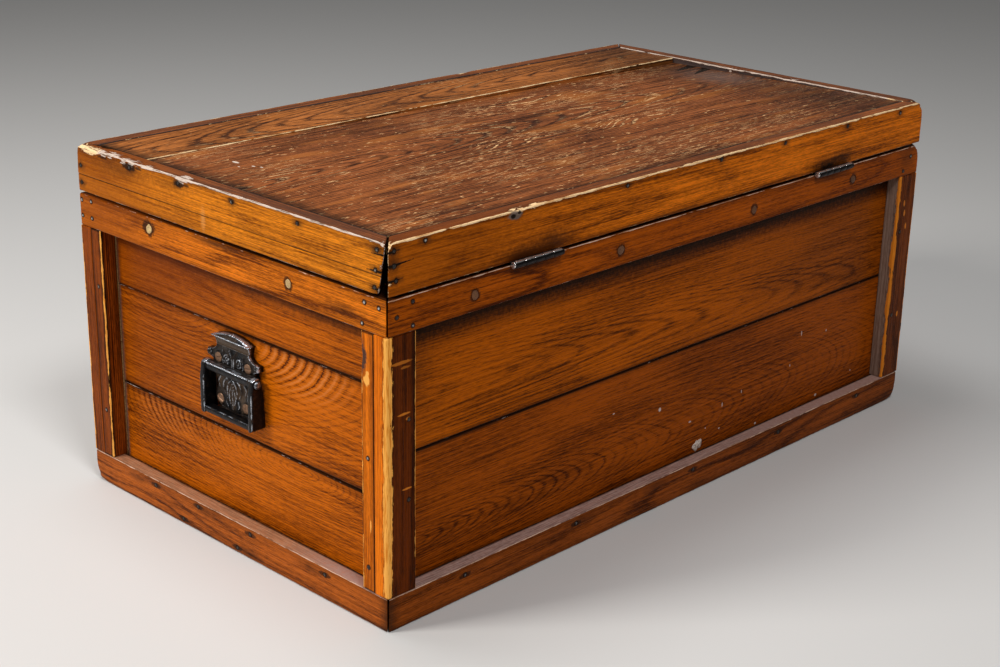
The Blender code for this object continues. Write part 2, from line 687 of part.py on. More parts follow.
def main():
    """Build the whole chest."""
    clear_scene()
    finishes = make_finishes()
    lid_axis = empty("lid_axis", (0.0, HINGE_AXIS_Y, HINGE_AXIS_Z))
    lid_place = (0.0, -HINGE_AXIS_Y, -HINGE_AXIS_Z)
    drills = make_handles(finishes)
    make_bottom(finishes["bottom"])
    make_long_boards(finishes["board"])
    make_end_boards(finishes["board"], drills)
    mitred_ring("plinth", 0.0, PLINTH_HEIGHT, finishes["frame"])
    make_stiles(finishes["frame"])
    rails = mitred_ring("top_rail", CASE_HEIGHT - TOP_RAIL_HEIGHT, CASE_HEIGHT, finishes["frame"])
    lid_rails = mitred_ring("lid_rail", LID_BOTTOM, LID_TOP, finishes["frame"], lid_axis, lid_place,
                            LID_MITRE_OPENING)
    make_lid_boards(finishes["lid"], lid_axis, lid_place)
    make_hinges(rails, lid_rails, finishes["hinge"], lid_axis)


main()
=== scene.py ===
"""Tool chest with worn varnished wood, nails, plugs, hinges and cast handles, on a pale studio floor."""
import json

import bpy
import numpy as np
from mathutils import Matrix, Vector


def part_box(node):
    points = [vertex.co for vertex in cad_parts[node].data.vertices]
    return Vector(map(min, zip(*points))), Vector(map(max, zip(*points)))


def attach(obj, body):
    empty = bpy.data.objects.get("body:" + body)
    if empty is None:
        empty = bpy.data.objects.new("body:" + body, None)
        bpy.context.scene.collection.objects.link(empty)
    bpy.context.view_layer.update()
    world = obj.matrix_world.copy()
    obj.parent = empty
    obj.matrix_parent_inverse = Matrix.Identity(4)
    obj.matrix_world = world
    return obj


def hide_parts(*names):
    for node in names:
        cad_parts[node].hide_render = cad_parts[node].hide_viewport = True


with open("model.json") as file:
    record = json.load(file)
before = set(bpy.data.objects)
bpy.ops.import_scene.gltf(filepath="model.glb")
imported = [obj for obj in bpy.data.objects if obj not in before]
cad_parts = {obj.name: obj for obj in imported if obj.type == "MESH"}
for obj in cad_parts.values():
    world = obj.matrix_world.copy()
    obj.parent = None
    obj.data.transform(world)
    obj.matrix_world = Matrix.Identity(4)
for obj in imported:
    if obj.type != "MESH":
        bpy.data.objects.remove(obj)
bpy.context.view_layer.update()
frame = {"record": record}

MM = 0.001

# Linear colours of the finishes, light and dark within the grain. Pieces that face the ends (the END_ colours
# and ORANGE_STILE) are set lighter and pieces that face the long sides (the LONG_ colours and DARK_STILE)
# darker: partly the wood's own tone, partly painted light and shade of how the ends and the sides are lit.
RAW = ((0.42, 0.23, 0.095), (0.17, 0.080, 0.030))
LID_REAR = ((0.38, 0.112, 0.030), (0.085, 0.023, 0.009))
LID_FRONT = ((0.50, 0.160, 0.034), (0.10, 0.028, 0.009))
LID_SIDE = ((0.075, 0.050, 0.044), (0.030, 0.020, 0.018))
# Painted shade: the dark touching faces of the case's top rails and of the lid's rails, which paint the
# shadow of the gap between lid and case.
PAINTED_GAP_SHADE = ((0.085, 0.024, 0.007), (0.030, 0.009, 0.003))
END_PLINTH = ((0.54, 0.128, 0.014), (0.140, 0.028, 0.005))
LONG_PLINTH = ((0.36, 0.080, 0.008), (0.095, 0.018, 0.002))
END_TOP_RAIL = ((0.92, 0.230, 0.009), (0.240, 0.045, 0.002))
LONG_TOP_RAIL = ((0.47, 0.092, 0.001), (0.130, 0.020, 0.001))
END_LID_RAIL = ((0.92, 0.280, 0.012), (0.240, 0.050, 0.003))
LONG_LID_RAIL = ((0.88, 0.208, 0.005), (0.220, 0.042, 0.001))
DARK_STILE = ((0.138, 0.023, 0.001), (0.044, 0.008, 0.001))
ORANGE_STILE = ((0.940, 0.222, 0.006), (0.520, 0.100, 0.003))
BROWN_STILE = ((0.320, 0.064, 0.005), (0.070, 0.013, 0.001))
RED_STILE = ((0.240, 0.050, 0.006), (0.060, 0.012, 0.002))
GREY_FLANK = ((0.310, 0.210, 0.160), (0.160, 0.090, 0.062))
LONG_UPPER = ((0.51, 0.108, 0.001), (0.130, 0.024, 0.001))
LONG_LOWER = ((0.39, 0.078, 0.002), (0.100, 0.017, 0.001))
END_BOARD = ((0.65, 0.147, 0.003), (0.150, 0.024, 0.002))

# Linear colours of dust, stains and marks, and of painted shade: the soot colour also paints shadows, and the
# five shade colours at the end paint the wood darker where it is less lit.
SOOT_AND_SHADE = (0.010, 0.006, 0.004)
END_DUST = (0.40, 0.195, 0.105)
LONG_DUST = (0.42, 0.270, 0.23)
CORNER_DUST = (0.30, 0.19, 0.14)
TOP_DIRT = (0.060, 0.030, 0.022)
PALE_RING = (0.90, 0.34, 0.10)
WARM_STREAK = (0.52, 0.165, 0.030)
FLAKED = (0.94, 0.56, 0.26)
AMBER = (0.70, 0.21, 0.02)
RUBBED = (0.80, 0.36, 0.10)
BRUISE = (0.050, 0.034, 0.032)
KNOT_GREY = (0.15, 0.11, 0.09)
CORNER_GREY = (0.22, 0.15, 0.125)
SCRATCH = (0.82, 0.70, 0.58)
PAINT = (0.62, 0.52, 0.46)
TOP_RAIL_PAINTED_SHADE = (0.26, 0.055, 0.003)
END_LID_PAINTED_SHADE = (0.30, 0.070, 0.003)
LONG_LID_PAINTED_SHADE = (0.16, 0.032, 0.001)
MIDDLE_PAINTED_SHADE = (0.24, 0.046, 0.002)
UPPER_PAINTED_SHADE = (0.20, 0.036, 0.002)
VARNISH_SHEEN = (1.0, 0.62, 0.25, 1.0)

# Linear colours, light and dark, of wood that is bare along a worn edge
CREAM = ((1.00, 0.70, 0.38), (0.66, 0.34, 0.13))
STRAW = ((1.00, 0.470, 0.095), (0.72, 0.23, 0.020))
AMBER_EDGE = (AMBER, STRAW[1])
WEATHERED = ((0.66, 0.53, 0.44), (0.16, 0.098, 0.064))
BROKEN_END = (CREAM[0], WEATHERED[1])
ROSY = ((0.66, 0.43, 0.31), (0.34, 0.16, 0.08))
LILAC = ((0.46, 0.35, 0.31), (0.16, 0.095, 0.07))


class Shader:
    """A material's node tree, with short calls for the nodes that the finishes share. Lengths are in mm."""

    def __init__(self, name):
        self.material = bpy.data.materials.new(name)
        self.material.use_nodes = True
        self.tree = self.material.node_tree
        self.shader = self.tree.nodes["Principled BSDF"]
        texture = self.add("ShaderNodeTexCoord").outputs["Object"]
        self.place = self.vector("MULTIPLY", texture, (1 / MM, 1 / MM, 1 / MM))

    def add(self, kind, **settings):
        made = self.tree.nodes.new(kind)
        for key, value in settings.items():
            setattr(made, key, value)
        return made

    def put(self, socket, value):
        if isinstance(value, bpy.types.NodeSocket):
            self.tree.links.new(value, socket)
        else:
            socket.default_value = value

    def math(self, operation, a, b=0.0, c=0.0, clamp=False):
        made = self.add("ShaderNodeMath", operation=operation, use_clamp=clamp)
        for socket, value in zip(made.inputs, (a, b, c)):
            self.put(socket, value)
        return made.outputs[0]

    def times(self, a, b, clamp=False):
        return self.math("MULTIPLY", a, b, clamp=clamp)

    def madd(self, a, b, c, clamp=False):
        """Multiply two values and add a third."""
        return self.math("MULTIPLY_ADD", a, b, c, clamp)

    def vector(self, operation, a, b=(0.0, 0.0, 0.0)):
        made = self.add("ShaderNodeVectorMath", operation=operation)
        self.put(made.inputs[0], a)
        self.put(made.inputs[1], b)
        return made.outputs["Value" if operation in ("LENGTH", "DOT_PRODUCT") else "Vector"]

    def step(self, value, low, high):
        """Smooth step from 0 at low to 1 at high."""
        made = self.add("ShaderNodeMapRange", interpolation_type="SMOOTHSTEP")
        self.put(made.inputs["Value"], value)
        self.put(made.inputs["From Min"], low)
        self.put(made.inputs["From Max"], high)
        return made.outputs["Result"]

    def noise(self, place, scale, detail=2.0, roughness=0.5):
        made = self.add("ShaderNodeTexNoise")
        self.put(made.inputs["Vector"], self.vector("MULTIPLY", place, scale))
        self.put(made.inputs["Scale"], 1.0)
        self.put(made.inputs["Detail"], detail)
        self.put(made.inputs["Roughness"], roughness)
        return made.outputs["Fac"]

    def even_noise(self, scale, detail=2.0, roughness=0.5):
        return self.noise(self.place, (scale, scale, scale), detail, roughness)

    def mix(self, factor, a, b):
        made = self.add("ShaderNodeMix", data_type="RGBA")
        self.put(made.inputs["Factor"], factor)
        colours = [socket for socket in made.inputs if socket.type == "RGBA"]
        for socket, value in zip(colours, (a, b)):
            self.put(socket, value if isinstance(value, bpy.types.NodeSocket) else (*value, 1.0))
        return [socket for socket in made.outputs if socket.type == "RGBA"][0]

    def attribute(self, name):
        return self.add("ShaderNodeAttribute", attribute_name=name).outputs["Fac"]

    def surface(self, colour, rough, height, strength, distance):
        """Join the colour, the roughness and a bump to the surface. The bump's distance is in metres."""
        self.put(self.shader.inputs["Base Color"], colour)
        self.put(self.shader.inputs["Roughness"], rough)
        bump = self.add("ShaderNodeBump")
        self.put(bump.inputs["Strength"], strength)
        self.put(bump.inputs["Distance"], distance)
        self.put(bump.inputs["Height"], height)
        self.put(self.shader.inputs["Normal"], bump.outputs["Normal"])
        return self.material


def scaled(colour, share):
    """A colour made darker or lighter."""
    return tuple(share * value for value in colour)


# Noises that follow the grain: cycles per mm along and across it, detail and roughness
GRAIN = {
    "fibre": (0.004, 0.42, 4.0, 0.62),
    "patchy": (0.25, 0.25, 3.0, 0.6),
    "splinter": (0.045, 0.8, 3.0, 0.65),
    "sway": (0.0035, 0.010, 2.0, 0.5),
    "ripple": (0.012, 0.030, 2.0, 0.5),
    "ragged": (0.03, 0.7, 3.0, 0.6),
    "pores": (0.035, 1.5, 2.0, 0.6),
    "speck": (0.012, 0.90, 3.0, 0.70),
    "grit": (0.13, 1.3, 2.0, 0.6),
    "blotch": (0.006, 0.016, 3.0, 0.55),
    "streak": (0.006, 0.85, 3.0, 0.65),
    "warmth": (0.009, 0.10, 2.0, 0.5),
    "dash": (0.05, 0.66, 3.0, 0.75),
    "stray": (0.08, 0.80, 2.0, 0.6),
    "smear": (0.015, 0.16, 3.0, 0.65),
    "torn": (0.10, 0.45, 3.0, 0.65),
}
FLECK_PATCHES = (0.0065, 0.040, 0.032)

# How dark the wood is: where it starts, and the share of each noise with the values it is spread between
BASE_DEPTH, FIBRE_DEPTH, PORE_DEPTH = -0.63, 0.48, 0.5
DEPTHS = {"blotch": (0.42, 0.30, 0.70), "speck": (0.52, 0.32, 0.68), "grit": (0.46, 0.30, 0.70)}


class Wood(Shader):
    """Varnished ring-porous wood, solid through a board: X is the grain and Y leaves the show face."""

    def __init__(self, name, half, seed, coarse, warp):
        super().__init__(name)
        self.level = (1.0, 0.0 if warp else 1.0, 1.0)
        self.end_x, self.face_y, self.edge_z = (float(size) for size in half)
        parts = self.add("ShaderNodeSeparateXYZ")
        self.put(parts.inputs[0], self.place)
        self.along, self.out, self.across = parts.outputs
        fine = self.vector("MULTIPLY", self.place, (1.0, 1 / coarse, 1 / coarse))
        self.moved = self.vector("ADD", fine, (37.0 * seed, 11.0 * seed, 0.0))
        self.fibre = self.step(self.grain("fibre"), 0.28, 0.72)
        self.patchy = self.grain("patchy")
        self.splinter = self.grain("splinter")
        self.rough = self.madd(self.fibre, 0.16, 0.30)
        self.sunk = None

    def grain(self, kind):
        along, across, detail, roughness = GRAIN[kind]
        return self.noise(self.moved, (along, across, across), detail, roughness)

    def tint(self, share, colour):
        """Blend the colour so far towards another."""
        self.colour = self.mix(share, self.colour, colour)

    def dull(self, share, more):
        """Make the surface rougher."""
        self.rough = self.madd(share, more, self.rough)

    def spread(self, x, z, reach_x, reach_z):
        """Distance from a point on the show face, where 1 is the edge of an ellipse."""
        offset = self.vector("SUBTRACT", self.place, (x, 0.0, z))
        return self.vector("LENGTH", self.vector("MULTIPLY", offset, (1 / reach_x, 0.0, 1 / reach_z)))

    def grow(self, rings, figure, eye, knolls):
        """Ring figure: the pith's (y, z), its slope along the grain, the ring spacing and the wander.

        The eye (x, z, reach along, reach across, boost) is a place where the figure is bolder. A knoll (x, z,
        reach along, reach across, height) is a place where the rings close into ovals.
        """
        (pith_y, pith_z), (slope_y, slope_z), spacing, wander = rings
        side_y = self.math("ADD", self.madd(self.along, slope_y, -pith_y - 0.5 * wander), self.out)
        side_z = self.math("ADD", self.madd(self.along, slope_z, -pith_z - 0.2 * wander), self.across)
        side_y = self.madd(self.grain("sway"), wander, side_y)
        side_z = self.madd(self.grain("ripple"), 0.4 * wander, side_z)
        self.oval = 0.0
        for x, z, reach_x, reach_z, height in knolls:
            near = self.step(self.spread(x, z, reach_x, reach_z), 1.0, 0.0)
            side_y = self.madd(near, height, side_y)
            self.oval = self.math("MAXIMUM", near, self.oval)
        radius = self.math("SQRT", self.math("ADD", self.times(side_y, side_y), self.times(side_z, side_z)))
        turns = self.madd(self.grain("ragged"), 0.55, self.math("DIVIDE", radius, spacing))
        phase = self.math("FRACT", turns)
        year = self.add("ShaderNodeTexWhiteNoise", noise_dimensions="1D")
        self.put(year.inputs["W"], self.math("FLOOR", turns))
        self.early = self.step(phase, 0.36, 0.04)
        ring = self.math("MAXIMUM", self.early, self.times(self.step(phase, 0.80, 1.0), 0.8))
        self.ring = self.times(ring, self.madd(year.outputs["Value"], 1.0, 0.25))
        self.pores = self.times(self.step(self.grain("pores"), 0.54, 0.66), self.madd(self.early, 0.7, 0.3))
        depth = BASE_DEPTH
        self.gleam = None
        if eye:
            x, z, reach_x, reach_z, boost = eye
            near = self.step(self.spread(x, z, reach_x, reach_z), 1.3, 0.5)
            figure = self.madd(near, boost, figure)
            depth = self.madd(near, -0.3 * boost, depth)
            band = self.times(self.step(phase, 0.36, 0.52), self.step(phase, 0.80, 0.64))
            self.gleam = self.times(self.times(near, band), max(boost - 0.25, 0.0))
        depth = self.madd(self.fibre, FIBRE_DEPTH, depth)
        for kind, (share, low, high) in DEPTHS.items():
            depth = self.madd(self.step(self.grain(kind), low, high), share, depth)
        depth = self.madd(self.ring, figure, depth)
        self.depth = self.madd(self.pores, PORE_DEPTH, depth, clamp=True)

    def stain(self, colours, grime, flank):
        """Body colour, darker towards the long edges of the show face. The two flanks can differ."""
        light, self.dark = colours
        self.colour = self.mix(self.depth, light, scaled(self.dark, 0.6))
        if self.gleam is not None:
            self.tint(self.gleam, PALE_RING)
        self.front = self.step(self.out, self.face_y - 1.8, self.face_y - 0.6)
        if flank:
            upper, lower = (self.mix(self.depth, *pair) for pair in flank)
            side = self.mix(self.step(self.across, -1.0, 1.0), lower, upper)
            self.colour = self.mix(self.front, side, self.colour)
        reach = self.madd(self.patchy, 5.0, self.math("ABSOLUTE", self.across))
        edge = self.times(self.step(reach, self.edge_z - 6.0, self.edge_z + 3.0), grime)
        self.tint(self.times(edge, self.front), scaled(self.dark, 0.25))

    def mitre(self, gap):
        """Painted shade on the cut faces of a mitred strip, one of which stands open by a gap at its foot:
        the dark inside of the joint.
        """
        spread = self.times(self.step(self.along, 1.0, -1.0), gap / (2 * self.edge_z))
        spread = self.times(spread, self.math("SUBTRACT", self.edge_z, self.across))
        behind = self.math("ADD", spread, self.math("SUBTRACT", self.math("ABSOLUTE", self.along), self.out))
        cut = self.end_x - self.face_y
        behind = self.step(behind, cut - 2.6, cut - 1.4)
        hidden = self.times(self.math("SUBTRACT", 1.0, self.front),
                            self.step(self.across, self.edge_z - 0.4, self.edge_z - 1.4))
        self.tint(self.times(behind, hidden), SOOT_AND_SHADE)

    def joint(self, strength):
        """Dark lines where the board meets its neighbours."""
        line = self.step(self.math("ABSOLUTE", self.across), self.edge_z - 1.7, self.edge_z - 0.9)
        butt = self.step(self.math("ABSOLUTE", self.along), self.end_x - 2.2, self.end_x - 0.9)
        line = self.math("MAXIMUM", line, butt)
        line = self.times(line, self.step(self.out, self.face_y - 4.0, self.face_y - 2.5))
        self.tint(self.times(line, strength), SOOT_AND_SHADE)

    def chafe(self, flecks, streaks):
        """Dark streaks along the grain, and pale flecks along the rings where the varnish has flaked off."""
        self.tint(self.times(self.step(self.grain("streak"), 0.52, 0.64), streaks), scaled(self.dark, 0.35))
        self.tint(self.times(self.step(self.grain("warmth"), 0.54, 0.70), 0.45), WARM_STREAK)
        low = 0.60 - 0.24 * flecks
        patch = self.step(self.noise(self.moved, FLECK_PATCHES), low, low + 0.16)
        patch = self.math("MAXIMUM", self.times(patch, 0.6), self.step(self.oval, 0.02, 0.25))
        bare = self.times(patch, self.step(self.grain("dash"), 0.49, 0.57))
        bare = self.times(bare, self.step(self.early, 0.1, 0.6))
        bare = self.math("MAXIMUM", bare, self.times(self.step(self.grain("stray"), 0.66, 0.70), flecks))
        self.tint(bare, FLAKED)
        self.dull(bare, 0.3)

    def mark(self, x, z, reach_x, reach_z, strength, colour, soft=0.0):
        """A stain or speck on the show face; the same marks also paint shade and shadows."""
        offset = self.vector("SUBTRACT", self.place, (x, self.face_y, z))
        depth = self.level[1] / max(reach_x, reach_z)
        offset = self.vector("MULTIPLY", offset, (1 / reach_x, depth, 1 / reach_z))
        reach = self.madd(self.patchy, 1.1, self.vector("LENGTH", offset))
        spot = self.step(reach, 1.75 + 0.5 * soft, 1.35 - 0.8 * soft)
        self.tint(self.times(spot, strength), colour)

    def crack(self, x, z, end_x, end_z, width):
        """A dark split that narrows from its start to its end."""
        span = np.array([end_x - x, 0.0, end_z - z])
        offset = self.vector("SUBTRACT", self.place, (x, self.face_y, z))
        offset = self.vector("MULTIPLY", offset, self.level)
        part = self.times(self.vector("DOT_PRODUCT", offset, tuple(span / (span @ span))), 1.0, clamp=True)
        line = self.add("ShaderNodeVectorMath", operation="SCALE")
        line.inputs[0].default_value = tuple(span)
        self.put(line.inputs["Scale"], part)
        reach = self.vector("LENGTH", self.vector("SUBTRACT", offset, line.outputs["Vector"]))
        reach = self.madd(self.math("SUBTRACT", self.patchy, 0.5), 1.2, reach)
        split = self.step(self.math("SUBTRACT", self.madd(part, -width, width), reach), -0.6, 0.1)
        self.tint(split, SOOT_AND_SHADE)
        self.sunk = split if self.sunk is None else self.math("MAXIMUM", self.sunk, split)

    def seam(self, z, width, strength):
        """A dark check along the whole length."""
        reach = self.math("ABSOLUTE", self.math("SUBTRACT", self.across, z))
        reach = self.madd(self.patchy, 0.8 * width, reach)
        self.tint(self.times(self.step(reach, 1.4 * width, 0.7 * width), strength), SOOT_AND_SHADE)

    def powder(self, cover, colour):
        """A patchy layer of dust."""
        cover = self.times(cover, self.madd(self.patchy, 1.0, 0.40), clamp=True)
        self.tint(cover, colour)
        self.dull(cover, 0.35)

    def dust_ledge(self, colour):
        """Streaky dust on the upward edge, with a painted shadow line in its inner corner, and greyer towards
        one end.
        """
        cover = self.step(self.across, self.edge_z - 1.0, self.edge_z - 0.3)
        corner = self.times(cover, self.step(self.out, 4.5 - self.face_y, 1.8 - self.face_y))
        streak = self.step(self.splinter, 0.40, 0.62)
        colour = self.mix(streak, scaled(colour, 1.15), scaled(colour, 0.66))
        colour = self.mix(self.step(self.along, -60.0, -190.0), colour, LONG_DUST)
        self.powder(cover, self.mix(corner, colour, SOOT_AND_SHADE))

    def dust_ends(self, limit):
        """Dust on the show face, beside the strips that cover both ends."""
        reach = self.madd(self.patchy, 3.0, self.math("ABSOLUTE", self.along))
        strip = self.times(self.step(reach, limit - 2.5, limit + 1.5),
                           self.step(self.out, self.face_y - 2.0, self.face_y - 1.0))
        self.powder(self.times(strip, 0.85), CORNER_DUST)

    def topside(self, dirt):
        """The lid's darker, duller finish on the upward edge of a rail, and its dirty inner side."""
        within = self.step(self.out, 2.5 - self.face_y, 0.8 - self.face_y)
        upper = self.mix(self.depth, *LID_REAR)
        smear = self.step(self.grain("smear"), 0.40, 0.62)
        upper = self.mix(self.madd(smear, 0.45, dirt), upper, TOP_DIRT)
        upper = self.mix(within, upper, self.mix(self.depth, *LID_SIDE))
        up = self.step(self.across, self.edge_z - 1.0, self.edge_z - 0.2)
        self.tint(self.math("MAXIMUM", up, within), upper)

    def wear(self, pale, far):
        """Bare wood with a dark halo where edges have chafed. Past a place along the grain it can change."""
        share = self.attribute("worn")
        worn = self.madd(self.math("SUBTRACT", self.grain("torn"), 0.5), 1.3, share)
        worn = self.madd(self.math("SUBTRACT", self.splinter, 0.5), 0.7, worn)
        touched = self.step(share, 0.02, 0.20)
        halo = self.times(self.step(worn, 0.12, 0.42), touched)
        self.tint(self.times(halo, 0.5), scaled(self.dark, 0.3))
        self.bare = self.times(self.step(worn, 0.46, 0.58), touched)
        streak = self.step(self.splinter, 0.54, 0.36)
        colour = self.mix(streak, *pale)
        if far:
            limit, colours = far
            past = self.step(self.along, limit - 4.0, limit + 4.0)
            colour = self.mix(past, colour, self.mix(streak, *colours))
        self.tint(self.bare, colour)
        self.dull(self.bare, 0.35)

    def unvarnished(self, deep):
        """Raw wood on the hidden side of a board, up to some depth."""
        raw = self.step(self.out, deep - self.face_y, deep - self.face_y - 1.5)
        self.tint(raw, self.mix(self.depth, *RAW))
        self.dull(raw, 0.3)

    def finish(self, gloss):
        """Join the colour, gloss and relief to the surface."""
        self.shader.inputs["Specular IOR Level"].default_value = gloss
        self.shader.inputs["Specular Tint"].default_value = VARNISH_SHEEN
        height = self.madd(self.pores, -0.7, self.times(self.ring, -0.3))
        height = self.madd(self.bare, -0.4, height)
        height = self.madd(self.fibre, 0.4, height)
        if self.sunk is not None:
            height = self.madd(self.sunk, -1.5, height)
        return self.surface(self.colour, self.math("MINIMUM", self.rough, 0.95), height, 0.5, 0.0004)


def wood(name, half, seed, nails, colours, rings, figure=0.5, eye=None, knolls=(), grime=0.4, joint=0.0,
         pale=CREAM, far=None, spots=(), stains=(), cracks=(), seams=(), flank=None, flecks=0.0, streaks=0.0,
         raw=None, top=None, ledge=None, dust_x=None, gloss=0.05, mitre=None, coarse=1.0, warp=False):
    """The finish of one board."""
    made = Wood(name, half, seed, coarse, warp)
    made.grow(rings, figure, eye, knolls)
    made.stain(colours, grime, flank)
    if mitre is not None:
        made.mitre(mitre)
    if joint:
        made.joint(joint)
    if streaks:
        made.chafe(flecks, streaks)
    if top is not None:
        made.topside(top)
    if ledge:
        made.dust_ledge(ledge)
    if dust_x:
        made.dust_ends(dust_x)
    for stain in stains:
        made.mark(*stain, soft=1.0)
    made.wear(pale, far)
    for x, z in nails:
        made.mark(x, z, 2.7, 2.5, 0.9, SOOT_AND_SHADE)
    for line in seams:
        made.seam(*line)
    for spot in spots:
        made.mark(*spot)
    for split in cracks:
        made.crack(*split)
    if raw is not None:
        made.unvarnished(raw)
    return made.finish(gloss)


def plug_wood(name, light, dark):
    """End grain of a peg, dirtier in its pores."""
    s = Shader(name)
    pores = s.step(s.even_noise(0.9, 3.0, 0.7), 0.44, 0.68)
    patch = s.step(s.even_noise(0.03), 0.40, 0.65)
    tone = s.mix(s.times(patch, 0.6), light, dark)
    return s.surface(s.mix(s.times(pores, 0.7), tone, dark), s.madd(pores, 0.25, 0.5), pores, -0.6, 0.0004)


def iron(name, colour, rust, bright, rough):
    """Old iron: dark skin, brown bloom in patches, and brighter where the "worn" value is high; that value
    carries both wear and painted highlights.
    """
    s = Shader(name)
    bloom = s.step(s.even_noise(0.16, 4.0, 0.65), 0.48, 0.70)
    grit = s.even_noise(1.3, 3.0, 0.65)
    patch = s.times(s.attribute("rusty"), s.times(grit, 1.4), clamp=True)
    tone = s.mix(s.math("MAXIMUM", s.times(bloom, 0.30), patch), colour, rust)
    rubbed = s.madd(s.math("SUBTRACT", grit, 0.5), 0.7, s.attribute("worn"))
    rubbed = s.step(s.madd(bloom, -0.40, rubbed), 0.30, 0.75)
    dull = s.madd(bloom, 0.22, s.madd(grit, 0.3, rough - 0.15))
    s.shader.inputs["Metallic"].default_value = 0.85
    return s.surface(s.mix(rubbed, tone, bright), s.madd(rubbed, -0.14, dull), grit, 0.45, 0.0004)


def old_paint():
    """Pale paint with dirt in its hollows."""
    s = Shader("old_paint")
    patch = s.even_noise(0.5, 3.0, 0.6)
    colour = s.mix(s.step(patch, 0.42, 0.68), (0.74, 0.62, 0.54), (0.30, 0.21, 0.16))
    return s.surface(colour, s.madd(patch, 0.3, 0.45), patch, 0.5, 0.0006)


PALE_PLUG = plug_wood("pale_plug", (0.82, 0.58, 0.25), (0.22, 0.105, 0.035))
BROWN_PLUG = plug_wood("brown_plug", (0.175, 0.064, 0.017), (0.048, 0.015, 0.004))
NAIL_IRON = iron("nail_iron", (0.045, 0.038, 0.034), (0.040, 0.022, 0.013), (0.55, 0.52, 0.48), 0.30)
CAST_IRON = iron("dark_iron", (0.013, 0.013, 0.015), (0.125, 0.078, 0.046), (0.66, 0.70, 0.78), 0.34)
HINGE_STEEL = iron("oiled_steel", (0.016, 0.014, 0.014), (0.036, 0.021, 0.014), (0.72, 0.68, 0.66), 0.30)
SCREW_STEEL = iron("brown_steel", (0.27, 0.155, 0.095), (0.15, 0.068, 0.034), (0.52, 0.40, 0.30), 0.42)


def hashed(cells, seed):
    """Repeatable random numbers from 0 to 1 for whole-number cells."""
    mixed = np.sin(cells @ np.array([127.1, 311.7, 74.7]) + seed * 17.17) * 43758.5453
    return mixed - np.floor(mixed)


def value_noise(points, size, seed):
    """Smooth noise from 0 to 1 with features of about the given size."""
    spread = points / size
    base = np.floor(spread)
    part = spread - base
    part = part * part * (3 - 2 * part)
    total = np.zeros(len(points))
    for corner in range(8):
        offset = np.array([corner & 1, corner >> 1 & 1, corner >> 2 & 1])
        weight = np.prod(np.where(offset, part, 1 - part), axis=1)
        total += weight * hashed(base + offset, seed)
    return total


RIM_STATIONS = np.array([0.0, 0.4, 0.8, 1.4, 2.2, 3.4])


def crowded(length, step):
    """Stations along one side of a block, crowded towards both of its ends."""
    rim = RIM_STATIONS * MM
    rim = rim[rim < length / 2.2]
    count = max(1, round((length - 2 * rim[-1]) / step))
    middle = np.linspace(rim[-1], length - rim[-1], count + 1)
    return np.concatenate((rim[:-1], middle, length - rim[-2::-1])) - length / 2


def box_skin(stations):
    """Points and outward quads of a box gridded at three lists of stations."""
    counts = [len(line) for line in stations]
    index = np.arange(np.prod(counts)).reshape(counts)
    quads = []
    for axis in range(3):
        for end in (0, -1):
            sheet = np.take(index, end, axis=axis)
            quad = np.stack((sheet[:-1, :-1], sheet[1:, :-1], sheet[1:, 1:], sheet[:-1, 1:]), axis=-1)
            quad = quad.reshape(-1, 4)
            outward = (end == -1) == (axis != 1)
            quads.append(quad if outward else quad[:, ::-1])
    quads = np.concatenate(quads)
    used, quads = np.unique(quads, return_inverse=True)
    points = np.stack([line.ravel()[used] for line in np.meshgrid(*stations, indexing="ij")], axis=-1)
    return points, quads.reshape(-1, 4)


def rounded(points, half, radius):
    """Round the edges of a gridded box by each point's own radius."""
    inner = half - radius[:, None]
    core = np.clip(points, -inner, inner)
    away = points - core
    reach = np.linalg.norm(away, axis=1)
    shrink = np.where(reach > radius, radius / np.maximum(reach, 1e-9), 1.0)
    return core + away * shrink[:, None]


def block(low, high, radius, step=1.0):
    """A gridded block with rounded edges, in mm."""
    low, high = np.array(low, dtype=float), np.array(high, dtype=float)
    half = (high - low) / 2
    points, quads = box_skin([crowded(2 * size * MM, step * MM) / MM for size in half])
    return rounded(points, half, np.full(len(points), radius)) + (low + high) / 2, quads


def lathe(profile, sides=28, hollow=False):
    """Points and faces turned about X from (distance, radius) pairs. A hollow profile is a closed loop."""
    angles = np.arange(sides) * 2 * np.pi / sides
    points = [(x, r * np.cos(a), r * np.sin(a)) for x, r in profile for a in angles]
    faces = []
    count = len(profile)
    for ring in range(count if hollow else count - 1):
        low, high = ring * sides, (ring + 1) % count * sides
        for side in range(sides):
            after = (side + 1) % sides
            faces.append((low + side, high + side, high + after, low + after))
    if not hollow:
        faces.append(tuple(range(sides)))
        faces.append(tuple(range(count * sides - 1, (count - 1) * sides - 1, -1)))
    return np.array(points), faces


def dome(outline, profile, top):
    """A low dome about Y: its top point, then a ring for each (share of the outline's radii, height)."""
    sides = len(outline)
    angles = np.arange(sides) * 2 * np.pi / sides
    rim = np.stack((outline * np.cos(angles), outline * np.sin(angles)), axis=1)
    points = [(0.0, top, 0.0)]
    points += [(share * side, height, share * up) for share, height in profile for side, up in rim]
    ring = 1 + np.arange(sides)
    after = np.roll(ring, -1)
    faces = [(0, b, a) for a, b in zip(ring, after)]
    for start in range(0, (len(profile) - 1) * sides, sides):
        faces += [(start + a, start + b, start + b + sides, start + a + sides) for a, b in zip(ring, after)]
    faces.append(tuple(ring + (len(profile) - 1) * sides))
    return np.array(points), faces


def round_head(start, radius, rise):
    """Profile of a round head, from its full radius to its tip."""
    bend = np.linspace(0.0, np.pi / 2, 7)[:-1]
    return [(start + rise * np.sin(a), radius * np.cos(a)) for a in bend] + [(start + rise, 0.4)]


